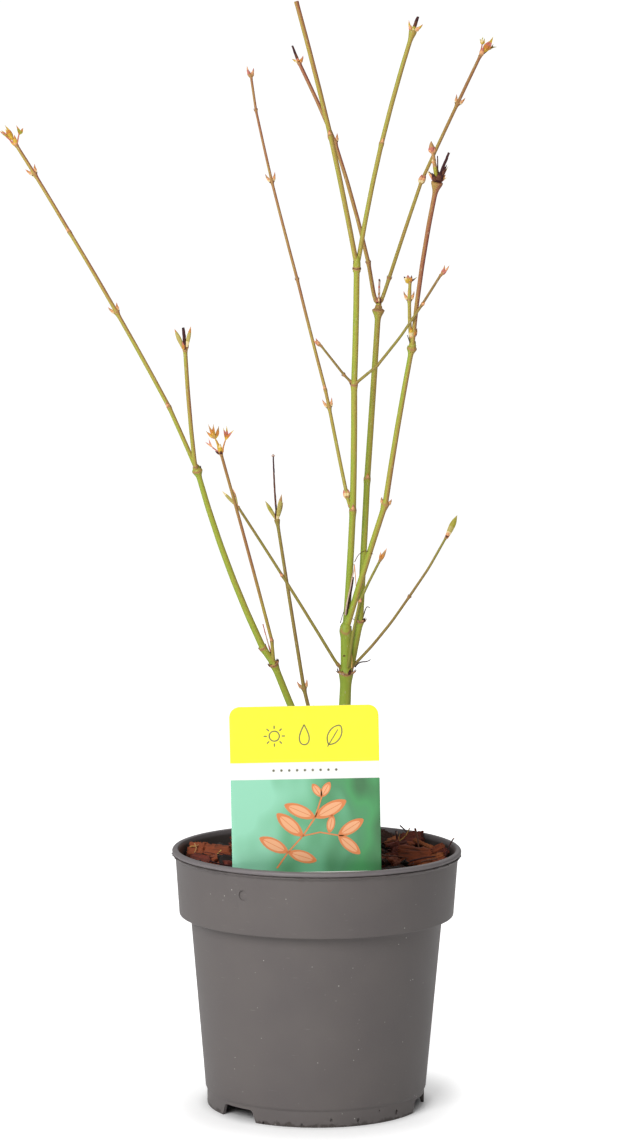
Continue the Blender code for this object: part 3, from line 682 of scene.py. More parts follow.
def ring_points(centres: Array, radii: Array, sides: int,
                near: Sequence[float] = (1.0, 0.0, 0.0)) -> Array:
    """Set rings of points square to a course.

    Args:
        centres: the course, one row for each ring.
        radii: one radius for each ring, or rings by points.
        sides: points in a ring.
        near: where the first point of each ring lies as nearly as it can.

    Returns:
        Rings by points by XYZ.
    """
    side, across = square_to(unit(np.gradient(centres, axis=0)), near)
    angle = turns(sides)
    spread = radii[:, None] if radii.ndim == 1 else radii
    out = side[:, None] * np.cos(angle)[None, :, None] + across[:, None] * np.sin(angle)[None, :, None]
    return centres[:, None] + out * spread[..., None]


def bent(foot: Array, way: Array, length: float, sag: Array, count: int) -> Array:
    """Place points along a line that bends off by sag, at its end, with the square of the run."""
    share = np.linspace(0, 1, count)[:, None]
    return foot + way * length * share + sag * share ** 2


def softened(points: Array, spacing: float, rounds: int) -> Array:
    """Walk along corners at even steps and ease them, its two ends fixed.

    Args:
        points: the corners.
        spacing: mm between the new points.
        rounds: how often the corners are eased.

    Returns:
        The new points.
    """
    run = runs_along(points)
    steps = np.linspace(0, run[-1], max(3, int(run[-1] / spacing) + 1))
    eased = walked(points, run, steps)
    for _ in range(rounds):
        eased[1:-1] = (eased[:-2] + 2 * eased[1:-1] + eased[2:]) / 4
    return eased


def cut(thing: Thing, cutters: Sequence[Thing]) -> None:
    """Cut other solids out of an object.

    Args:
        thing: the object.
        cutters: the solids, which are removed.
    """
    group = bpy.data.collections.new(thing.name + "_cutters")
    bpy.context.scene.collection.children.link(group)
    for cutter in cutters:
        bpy.context.collection.objects.unlink(cutter)
        group.objects.link(cutter)
    joint = thing.modifiers.new("cut", "BOOLEAN")
    joint.operation = "DIFFERENCE"
    joint.operand_type = "COLLECTION"
    joint.collection = group
    joint.solver = "EXACT"
    bpy.context.view_layer.update()
    seen = thing.evaluated_get(bpy.context.evaluated_depsgraph_get())
    mesh = bpy.data.meshes.new_from_object(seen)
    thing.modifiers.clear()
    thing.data = mesh
    for cutter in cutters:
        bpy.data.objects.remove(cutter, do_unlink=True)
    bpy.data.collections.remove(group)


# ---- small plant parts ----
def banded(tints: Sequence[Tint], share: Array) -> list[Finish]:
    """Return the finish of each band between these shares of a part's length."""
    return [tints[min(len(tints) - 1, int(s * len(tints) * 0.98))].value for s in share[1:]]


def flame(draft: Draft, foot: Array, way: Array, length: float, width: float, bow: Array,
          tints: Sequence[Tint], peak: float = 0.36, flat: float = 1.0) -> None:
    """Add one slender closed part: a bud, a bud scale, or a young leaf still folded.

    Args:
        draft: what it is added to.
        foot: its foot.
        way: its unit direction.
        length: mm from foot to tip.
        width: mm across its fullest part.
        bow: mm that its middle is bowed aside.
        tints: its colours from foot to tip.
        peak: share of its length at which it is fullest.
        flat: its depth over its width; a flat one is creased along its front.
    """
    share = np.array((0.0, 0.07, 0.16, 0.27, 0.38, 0.5, 0.62, 0.74, 0.85, 0.94, 1.0))
    rising = 0.55 + 0.45 * np.sin(np.minimum(share / peak, 1) * math.pi / 2)
    falling = np.cos(np.clip((share - peak) / (1 - peak), 0, 0.98) * math.pi / 2) ** 1.15
    angle = turns(10)
    crease = 1 - 0.3 * (1 - flat) * np.maximum(-np.sin(angle), 0) ** 4
    turned = flat / np.hypot(flat * np.cos(angle), np.sin(angle)) * crease
    centres = foot + way * (share * length)[:, None] + bow * np.sin(share * math.pi)[:, None]
    full = (rising * falling * width / 2)[:, None] * turned
    draft.loft(ring_points(centres, full, len(angle)), banded(tints, share))


def bud(draft: Draft, foot: Array, way: Array, length: float, width: float,
        tints: Sequence[Tint]) -> None:
    """Add a bud: a bowed core held by two shorter scales.

    Args:
        draft: what it is added to.
        foot: its foot.
        way: its unit direction.
        length: mm from foot to tip.
        width: mm across.
        tints: its colours from foot to tip.
    """
    side, across = square_to(way)
    outward = unit(np.array((way[0], way[1], 0.001)))
    flame(draft, foot, way, length, width * 0.86, outward * length * 0.07, tints)
    for sign in (-1, 1):
        lean = unit(way + side * sign * 0.08 + across * sign * 0.05)
        flame(draft, foot + side * sign * width * 0.15, lean, length * 0.58, width * 0.6,
              side * sign * width * 0.12 + outward * length * 0.05, tints[:2])


def lobe(draft: Draft, foot: Array, way: Array, lift: Array, size: Triple, curl: float,
         tints: Sequence[Tint]) -> None:
    """Add one folded lobe of a young leaf, or a papery bract.

    Args:
        draft: what it is added to.
        foot: its foot.
        way: its unit direction.
        lift: the direction that its upper side faces.
        size: mm long, mm wide, and how far its halves fold up, from 0 to 1.
        curl: how far its tip bends towards lift, as a share of its length.
        tints: its colours from foot to tip.
    """
    length, width, fold = size
    lift = unit(lift - way * np.dot(lift, way))
    aside = np.cross(way, lift)
    share = np.array((0.0, 0.12, 0.25, 0.38, 0.5, 0.62, 0.74, 0.87, 1.0))
    pointed = np.array((0.3, 0.66, 0.92, 1.0, 0.94, 0.74, 0.48, 0.22, 0.04)) * width / 2
    rings = []
    for s, half in zip(share, pointed):
        middle = foot + way * length * s + lift * curl * length * s ** 2
        skin = 0.07 + 0.1 * (1 - s)
        rings.append((middle - aside * half + lift * half * fold, middle + lift * skin,
                      middle + aside * half + lift * half * fold, middle - lift * skin))
    draft.loft(np.array(rings), banded(tints, share))


def leaf(draft: Draft, foot: Array, way: Array, tip: "Tip", draw: random.Random) -> None:
    """Add a young palmate leaf: a thin stalk, and narrow folded lobes that begin to fan.

    Args:
        draft: what it is added to.
        foot: where it leaves the shoot.
        way: its unit direction.
        tip: its sizes, colours, stalk and lobes; the first colour is the stalk's.
        draw: the source of its small differences.
    """
    length, width = tip.size
    stalk = length * tip.stalk
    outward = unit(np.array((way[0] + 0.01, way[1] - 0.02, 0.0)))
    path = bent(foot, way, stalk, outward * stalk * 0.06, 6)
    draft.loft(ring_points(path, np.linspace(0.4, 0.28, 6), 6), tip.tints[0].value)
    side, across = square_to(way, (1.0, -0.5, 0.2))
    middle = (tip.lobes - 1) / 2
    for number in range(tip.lobes):
        off = number - middle
        turn = math.radians(off * tip.spread + draw.uniform(-7, 7))
        along = unit(way * math.cos(turn) + side * math.sin(turn) + across * draw.uniform(-0.06, 0.06))
        size = ((length - stalk) * (1.1 - 0.2 * abs(off)) * draw.uniform(0.85, 1.05),
                width * draw.uniform(0.75, 1.1), 0.8)
        tones = tip.tints[1 + number % 2:] + tip.tints[1:2]
        lobe(draft, path[-1] - way * 0.15, along, across * draw.choice((-1, 1)), size,
             draw.uniform(-0.25, 0.3), tones)


def dead_end(draft: Draft, foot: Array, way: Array, length: float, width: float,
             tints: Sequence[Tint], draw: random.Random) -> None:
    """Add a dead stub: shrunken, lumpy, and broken or cut off at its end.

    Args:
        draft: what it is added to.
        foot: its foot.
        way: its unit direction.
        length: mm from foot to end.
        width: mm across at its foot.
        tints: its colours from foot to end.
        draw: the source of its lumps.
    """
    ragged = 0.35 * width
    count = max(6, int(length / 0.9))
    side, across = square_to(way)
    wander = side * draw.uniform(-0.06, 0.06) * length + across * draw.uniform(-0.05, 0.05) * length
    path = bent(foot, way, length, wander, count)
    share = np.linspace(0, 1, count)
    radii = width / 2 * (1.1 - 0.35 * share)[:, None] * np.array(
        [[draw.uniform(0.84, 1.12) for _ in range(9)] for _ in range(count)])
    rings = ring_points(path, radii, 9)
    for k in range(9):
        rings[-1, k] += way * draw.uniform(-ragged, ragged)
    draft.loft(rings, banded(tints, share))


def strand(draft: Draft, points: Sequence[Triple], radius: float, finish: Finish,
           taper: float = 0.5, sides: int = 6) -> None:
    """Add a hair, root or straw through a few points.

    Args:
        draft: what it is added to.
        points: the places it passes through.
        radius: mm at its first point.
        finish: its finish.
        taper: its last radius as a share of the first.
        sides: points round it.
    """
    path = softened(np.array(points, float), 0.7, 3)
    radii = radius * np.linspace(1, taper, len(path))
    draft.loft(ring_points(path, radii, sides, (0.3, 1.0, 0.1)), finish)


# ---- pot ----
def filleted(corners: Sequence[Triple], steps: int = 4) -> list[Pair]:
    """Round the corners of an open outline.

    Args:
        corners: radius, height and the length cut off each side of the corner.
        steps: points along each rounding.

    Returns:
        The outline as (radius, height).
    """
    places = [np.array(corner[:2]) for corner in corners]
    found = []
    for number, corner in enumerate(corners):
        here, reach = places[number], corner[2]
        if reach == 0 or number in (0, len(corners) - 1):
            found.append(here)
            continue
        before = here + unit(places[number - 1] - here) * reach
        after = here + unit(places[number + 1] - here) * reach
        for share in np.linspace(0, 1, steps):
            found.append(before * (1 - share) ** 2 + here * 2 * share * (1 - share) + after * share ** 2)
    return [(float(r), float(z)) for r, z in found]


@dataclass
class NurseryPot:
    """A thin-walled moulded pot: body, stepped collar, rolled lip with its flash, notched foot."""

    height: float = 116.0
    lip: float = 65.0
    collar_top: float = 63.4
    collar_foot: Pair = (61.6, 86.5)
    collar_slope: float = 0.082         # how far the collar opens out for each mm up
    body_top: Pair = (56.5, 85.4)
    body_foot: float = 49.7
    skirt: Pair = (48.9, 7.5)
    wall: float = 1.4
    floor: float = 8.0
    pad: float = 9.0
    notch: Pair = (20.0, 5.5)
    notch_turns: Triple = (-135.0, -15.0, 105.0)
    drain: Triple = (6, 4.0, 36.0)                 # how many, radius, radius of their circle
    gate_mark: Triple = (-120.4, 103.9, 2.3)       # turn, height, radius of the moulding mark
    pits: tuple[Triple, ...] = ((-82.0, 3.4, 0.8), (-67.5, 2.6, 1.0), (-43.0, 3.4, 1.2), (-97.0, 1.4, 0.6),
                                (-55.0, 5.6, 0.5), (-118.0, 0.8, 0.7))     # dents: turn, height, radius
    flash: float = 0.32                            # how far the lip's parting line is ragged
    sides: int = 360

    def outline(self) -> list[Pair]:
        """Draw half the wall's section.

        Returns:
            Its corners as (radius, height), from the foot's middle up outside and down inside.
        """
        top, skirt = self.height, self.skirt
        slope = (self.body_top[0] - self.body_foot) / (self.body_top[1] - skirt[1])
        inside = self.floor + self.wall
        return filleted((
            (self.pad - 0.6, 0.0, 0.0), (self.pad, 0.0, 0.3), (self.pad + 0.6, self.floor, 0.5),
            (skirt[0] - 1.7, self.floor, 0.8), (skirt[0] - 1.5, 0.0, 0.35), (skirt[0], 0.0, 0.35),
            (skirt[0] + 0.1, skirt[1] - 0.5, 0.3), (self.body_foot, skirt[1] + 0.6, 0.4),
            (self.body_top[0] + 0.1, self.body_top[1] + 0.6, 0.5),
            (self.collar_foot[0], self.collar_foot[1] - 0.2, 0.4),
            (self.collar_top, top - 4.1, 0.3), (self.lip - 1.0, top - 3.45, 0.15),
            (self.lip - 0.2, top - 3.0, 0.12), (self.lip - 0.25, top - 2.75, 0.1),
            (self.lip - 1.25, top - 2.45, 0.15), (self.lip - 0.25, top - 2.1, 0.25),
            (self.lip + 0.05, top - 1.1, 0.6),
            (self.lip - 0.9, top, 0.7), (self.lip - 2.6, top - 0.2, 0.6),
            (self.collar_top - self.wall, top - 2.4, 0.8),
            (self.collar_foot[0] - self.wall, self.collar_foot[1] + self.wall + 0.4, 0.9),
            (self.body_top[0] - self.wall, self.body_top[1] + self.wall + 0.5, 0.9),
            (self.body_foot + slope * (inside - skirt[1]) - self.wall, inside, 0.8),
            (self.pad, inside, 0.0)))

    def shell(self) -> Draft:
        """Turn the outline about the axis, with the parting line's raggedness in the lip.

        Returns:
            The draft of the uncut pot.
        """
        draw = random.Random(3)
        angle = turns(self.sides)
        torn = ripple(draw, (5, 9, 17, 31, 47, 71, 103), 10.0)(angle, np.zeros(self.sides))
        torn += np.array([draw.gauss(0, 0.45) for _ in range(self.sides)])
        rings = []
        for radius, height in self.outline():
            near = math.exp(-((height - (self.height - 2.9)) / 0.3) ** 2) * (radius > self.lip - 1.2)
            reach = radius + self.flash * near * torn
            rise = height + 0.12 * near * np.roll(torn, 3)
            rings.append(np.column_stack((reach * np.cos(angle), reach * np.sin(angle),
                                          np.broadcast_to(rise, angle.shape))))
        draft = Draft()
        draft.loft(np.array(rings), POLYPROPYLENE)
        return draft

    def cutter(self, outline: Sequence[Pair], turn: float, depth: Pair) -> Thing:
        """Make a prism that cuts into the wall from outside.

        Args:
            outline: its corners as (along the wall, height).
            turn: where it stands, in degrees round the axis.
            depth: its nearest and furthest radius.

        Returns:
            The cutter.
        """
        a = math.radians(turn)
        out, along = np.array((math.cos(a), math.sin(a), 0)), np.array((-math.sin(a), math.cos(a), 0))
        flat = np.array(outline, float)
        rings = [out * radius + along * flat[:, :1] + np.array((0, 0, 1)) * flat[:, 1:]
                 for radius in depth]
        draft = Draft()
        draft.loft(np.array(rings), POLYPROPYLENE)
        return draft.form("cutter", 30)

    def build(self) -> None:
        """Build the pot and cut its notches, drain holes, moulding mark and dents."""
        pot = self.shell().form("nursery_pot", 180)
        half, tall = self.notch[0] / 2, self.notch[1]
        wedge = [(-half - 1, -1), (half + 1, -1), (half - 1.2, tall - 0.8), (half - 2.2, tall),
                 (-half + 2.2, tall), (-half + 1.2, tall - 0.8)]
        cutters = [self.cutter(wedge, turn, (self.skirt[0] - 5, self.skirt[0] + 5))
                   for turn in self.notch_turns]
        turn, height, radius = self.gate_mark
        wall = self.collar_foot[0] + (height - self.collar_foot[1]) * self.collar_slope
        cutters.append(self.cutter(oval((0, height), (radius, radius), 24), turn, (wall - 0.75, wall + 3)))
        for turn, height, radius in self.pits:
            dent = oval((0, height), (radius * 0.7, radius), 8)
            cutters.append(self.cutter(dent, turn, (self.skirt[0] - 0.8, self.skirt[0] + 3)))
        count, hole, circle = self.drain
        for a in turns(int(count)) + math.pi / count:
            low = round_axis(circle, a, self.floor - 2)
            rings = ring_points(np.array((low, low + (0, 0, 6))), np.array((hole, hole)), 24)
            draft = Draft()
            draft.loft(rings, POLYPROPYLENE)
            cutters.append(draft.form("cutter", 30))
        cut(pot, cutters)
        face_out(pot, 32)
        place(pot, Slot.POT, "pot")


# ---- growing medium and bark mulch ----
@dataclass(frozen=True)
class Chip:
    """One bark chip: where it lies, its size, how it is turned, and its tone."""

    spot: Triple
    size: Triple            # long, wide, thick
    turn: Triple            # degrees about Z, then Y, then X
    tone: Chipped


HERO_CHIPS = (
    Chip((44.8, 6.0, 111.2), (16.5, 11.0, 3.0), (6, 4, 52), Chipped.RUST),
    Chip((35.6, -3.0, 109.6), (9.0, 6.5, 2.4), (55, 10, 44), Chipped.RUST),
    Chip((44.0, 36.0, 113.0), (11.5, 9.0, 4.2), (-14, -12, 48), Chipped.RED),
    Chip((54.0, 17.0, 111.8), (10.5, 4.6, 2.8), (22, -22, 34), Chipped.RUST),
    Chip((53.0, 6.0, 110.4), (9.5, 4.6, 2.2), (16, -10, 40), Chipped.ORANGE),
    Chip((57.4, 11.0, 111.4), (7.0, 4.6, 2.6), (48, -20, 36), Chipped.RED),
    Chip((49.6, 25.0, 112.8), (12.0, 2.8, 1.4), (-24, 20, 16), Chipped.ORANGE),
    Chip((31.0, 44.0, 112.8), (12.0, 8.0, 3.4), (-30, 14, 44), Chipped.UMBER),
    Chip((38.0, 28.0, 111.6), (10.0, 6.5, 2.8), (35, -8, 42), Chipped.RED),
    Chip((37.6, 14.0, 110.6), (8.0, 5.5, 2.4), (-20, 8, 40), Chipped.RED),
    Chip((-54.4, 15.0, 112.0), (9.6, 8.4, 3.8), (-24, -8, 50), Chipped.RUST),
    Chip((-44.8, 12.0, 111.6), (12.5, 9.6, 2.8), (8, -4, 52), Chipped.RUST),
    Chip((-52.4, 1.0, 110.0), (10.5, 5.6, 2.2), (-30, 6, 34), Chipped.RED),
    Chip((-39.6, -3.0, 110.2), (9.0, 6.5, 4.0), (20, 8, 36), Chipped.BLACK),
    Chip((-39.4, -11.0, 110.4), (4.8, 3.6, 1.8), (40, 10, 36), Chipped.RED),
    Chip((-34.0, 34.0, 112.2), (12.0, 7.0, 3.0), (24, 6, 42), Chipped.RED),
    Chip((-16.0, 46.0, 112.0), (13.0, 8.0, 3.0), (-8, 10, 36), Chipped.UMBER),
    Chip((8.0, 50.0, 112.2), (12.0, 7.0, 3.0), (14, -6, 36), Chipped.RUST),
)
# upright sticks, straws and roots that catch the light above the chips: points, radius, tint
STRAWS: tuple[tuple[tuple[Triple, ...], float, Tint], ...] = (
    (((42.4, 27.0, 120.2), (40.9, 28.0, 116.7), (39.2, 28.6, 115.0), (37.2, 29.0, 113.4),
      (35.2, 29.5, 111.6)), 0.3, Tint.STRAW),
    (((38.4, 46.0, 118.3), (40.6, 46.0, 116.4), (42.4, 45.0, 114.6)), 0.35, Tint.DEAD),
    (((45.0, 30.0, 119.5), (45.9, 27.0, 116.2), (46.6, 22.0, 112.1), (46.9, 20.0, 109.0)), 0.5,
     Tint.UMBER),
    (((36.5, 35.0, 117.6), (36.8, 34.5, 114.8), (36.9, 34.0, 112.0), (37.0, 33.5, 109.0)), 0.5, Tint.DEAD),
    (((36.9, 34.0, 117.4), (37.0, 34.2, 116.2)), 0.35, Tint.PALE),
    (((38.2, 33.0, 116.8), (37.6, 33.0, 114.6), (38.2, 33.0, 112.2)), 0.22, Tint.TAN),
    (((33.9, 45.0, 114.9), (34.0, 45.0, 112.6), (34.0, 44.0, 109.0)), 0.45, Tint.DEAD),
    (((61.6, 6.0, 119.0), (60.4, 6.0, 117.0), (58.8, 5.0, 113.6), (57.5, 4.0, 110.0)), 0.35, Tint.DEAD),
    (((61.9, 6.0, 119.3), (61.5, 6.0, 118.7)), 0.4, Tint.PALE),
    (((-43.2, 8.0, 112.9), (-44.8, 4.5, 111.6), (-46.6, 1.0, 110.0)), 0.3, Tint.STRAW),
    (((-55.4, 13.0, 115.0), (-54.6, 12.0, 114.2), (-54.4, 11.0, 112.8), (-55.4, 10.0, 111.4)), 0.28,
     Tint.TAN),
    (((-53.6, 13.0, 114.6), (-54.5, 12.0, 114.0)), 0.2, Tint.TAN),
    (((-57.5, 14.0, 113.6), (-55.5, 12.5, 114.0), (-54.5, 12.0, 113.9)), 0.22, Tint.STRAW),
    (((-28.0, 20.0, 112.0), (-24.0, 24.0, 113.2), (-18.0, 25.0, 112.0)), 0.5, Tint.DEAD),
)


@dataclass
class BarkMulch:
    """A lumpy dark bed, and torn bark chips, crumbs, sticks and straws heaped on it."""

    reach: float = 61.0
    bed_height: float = 106.0
    chip_count: int = 96
    crumb_count: int = 170
    stick_count: int = 34
    foot: Triple = (11.6, 6.0, 5.6)             # the trunk's place, and the radius kept open round it
    card: Triple = (-4.2, -47.0, 33.5)          # the label's place, and half its width with a gap
    stick_gaps: Pair = (13.0, 7.0)              # how far sticks keep from the trunk and the card

    def bed(self) -> None:
        """Build the bed: crumbly, closed below."""
        draw = random.Random(5)
        radii = np.linspace(2.0, self.reach - 0.4, 34)
        angle = turns(120)
        lumps = ripple(draw, (3, 5, 8, 13, 21), 7.0)
        rings = [np.column_stack((r * np.cos(angle), r * np.sin(angle),
                                  self.bed_height + 0.9 * lumps(angle, np.full(120, r * 1.7))
                                  + [draw.gauss(0, 0.32) for _ in angle])) for r in radii]
        low = rings[-1].copy()
        low[:, 2] = self.bed_height - 1.6
        draft = Draft()
        draft.loft(np.array([*rings, low]), PEAT)
        draft.piece("mulch_bed", Slot.MULCH, "bark_mulch", smooth=180)

    def chip(self, draft: Draft, chip: Chip, grid: int, draw: random.Random) -> bool:
        """Add one chip unless it stands in the trunk's or the card's way.

        Args:
            draft: what it is added to.
            chip: its place, size and turn.
            grid: points along and across it.
            draw: the source of its tears.

        Returns:
            Whether it was added.
        """
        long, wide, thick = chip.size
        u, v = np.meshgrid(np.linspace(-1, 1, grid), np.linspace(-1, 1, grid), indexing="ij")
        ends = [np.array([draw.uniform(-0.22, 0.1) for _ in range(grid)]) for _ in range(2)]
        torn = np.where(u > 0, ends[0][None, :], -ends[1][None, :]) * np.abs(u) ** 5
        edge = np.array([draw.uniform(-0.12, 0.12) for _ in range(grid)])[:, None]
        taper = 1 - draw.uniform(0.1, 0.45) * (u + 1) / 2
        x = long / 2 * (u + torn)
        y = wide / 2 * v * taper * (1 + edge * np.abs(v))
        fall = np.sqrt(np.clip((1 - np.abs(u) ** 6) * (1 - np.abs(v) ** 5), 0, 1))
        rib = np.array([draw.gauss(0, 0.17) for _ in range(grid)])[None, :] * (0.6 + 0.4 * np.cos(u * 2))
        step = 0.32 * thick * (v > draw.uniform(-0.2, 0.7)) * (u < draw.uniform(-0.3, 0.9))
        bow = draw.uniform(-0.06, 0.1) * wide * v ** 2 + draw.uniform(-0.03, 0.03) * long * u ** 2
        rough = np.array([[draw.gauss(0, 0.09) for _ in range(grid)] for _ in range(grid)])
        top = thick / 2 * (0.2 + 0.8 * fall) - step * fall + rib + bow + rough
        low = -thick / 2 * (0.2 + 0.8 * fall) + bow - rib * 0.5
        local = np.concatenate((np.stack((x, y, top), -1).reshape(-1, 3),
                                np.stack((x, y, np.minimum(low, top - 0.15)), -1).reshape(-1, 3)))
        yaw, pitch, roll = (math.radians(turn) for turn in chip.turn)
        turned = Matrix.Rotation(yaw, 3, "Z") @ Matrix.Rotation(pitch, 3, "Y") @ Matrix.Rotation(roll, 3, "X")
        points = local @ np.array(turned).T + np.array(chip.spot)
        off_foot = np.hypot(points[:, 0] - self.foot[0], points[:, 1] - self.foot[1]).min()
        beside = np.abs(points[:, 0] - self.card[0]).min() < self.card[2]
        before = (points[:, 1] - self.card[1]).min() * (points[:, 1] - self.card[1]).max() < 1.0
        if off_foot < self.foot[2] or (beside and before):
            return False
        out = np.hypot(points[:, 0], points[:, 1])
        points[:, :2] *= np.minimum(1, self.reach / np.maximum(out, 1e-6))[:, None]
        shift = np.array([draw.uniform(-40, 40) for _ in range(3)])
        draft.add(points, slab(grid, grid), chip.tone.value, grain=local + shift)
        return True

    def heap(self) -> None:
        """Heap the chips and crumbs, those of one tone in one piece."""
        draw = random.Random(23)
        drafts = {tone: Draft() for tone in Chipped}
        for chip in HERO_CHIPS:
            self.chip(drafts[chip.tone], chip, 15, draw)
        dealt = 200             # tones dealt out for chips, and as many for crumbs
        tones = draw.choices(list(Chipped), (0.2, 0.27, 0.1, 0.26, 0.17), k=2 * dealt)
        laid = 0
        while laid < self.chip_count:
            length = draw.uniform(8, 16)
            out = math.sqrt(draw.random()) * (self.reach - length * 0.36)
            turn = draw.uniform(0, math.tau)
            back = min(1.0, max(0.25, 0.45 + out * math.sin(turn) / 60.0))
            rise = draw.uniform(0, 1) ** 1.3 * 5.2 * back
            chip = Chip(tuple(round_axis(out, turn, self.bed_height + 0.6 + rise)),
                        (length, draw.uniform(4.5, 8.5), draw.uniform(1.4, 3.2)),
                        (draw.uniform(0, 360), draw.uniform(-17, 17), draw.uniform(-24, 24)), tones[laid])
            laid += self.chip(drafts[chip.tone], chip, 12, draw)
        laid = 0
        while laid < self.crumb_count:
            out, turn = math.sqrt(draw.random()) * (self.reach - 2), draw.uniform(0, math.tau)
            chip = Chip(tuple(round_axis(out, turn, self.bed_height + draw.uniform(0.6, 5.0))),
                        (draw.uniform(2, 5), draw.uniform(1.2, 3), draw.uniform(0.7, 1.8)),
                        (draw.uniform(0, 360), draw.uniform(-40, 40), draw.uniform(-40, 40)),
                        tones[dealt + laid])
            laid += self.chip(drafts[chip.tone], chip, 5, draw)
        for tone, draft in drafts.items():
            draft.piece("mulch_chips_" + tone.name.lower(), Slot.MULCH, "bark_mulch", smooth=55)

    def litter(self) -> None:
        """Lay sticks and needles on the chips, and stand the few straws that rise from them."""
        draw = random.Random(31)
        draft = Draft()
        for points, radius, tint in STRAWS:
            strand(draft, points, radius, tint.value, 0.6)
        tints = (Tint.DEAD, Tint.UMBER, Tint.UMBER, Tint.DEAD)
        laid = 0
        while laid < self.stick_count:
            out, turn = math.sqrt(draw.random()) * (self.reach - 9), draw.uniform(0, math.tau)
            middle = round_axis(out, turn, self.bed_height + 5.4)
            aim, tilt = draw.uniform(0, math.tau), draw.uniform(-0.35, 0.35)
            half = round_axis(1.0, aim, tilt) * draw.uniform(2.5, 6.5)
            off_foot = math.hypot(middle[0] - self.foot[0], middle[1] - self.foot[1])
            if off_foot < self.stick_gaps[0] or abs(middle[1] - self.card[1]) < self.stick_gaps[1]:
                continue
            sag = np.array((draw.uniform(-1, 1), draw.uniform(-1, 1), draw.uniform(-0.5, 0.8)))
            strand(draft, (middle - half, middle + sag, middle + half), draw.uniform(0.2, 0.5),
                   tints[laid % 4].value, 0.6)
            laid += 1
        draft.piece("mulch_straws", Slot.MULCH, "bark_mulch")

    def build(self) -> None:
        """Build the bed, the heap and what lies on it."""
        self.bed()
        self.heap()
        self.litter()


def dress_medium(nodes: dict[str, Thing]) -> None:
    """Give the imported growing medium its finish.

    Args:
        nodes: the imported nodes, by name.
    """
    thing = nodes["growing_medium"]
    thing.data.materials.clear()
    thing.data.materials.append(PEAT.material())


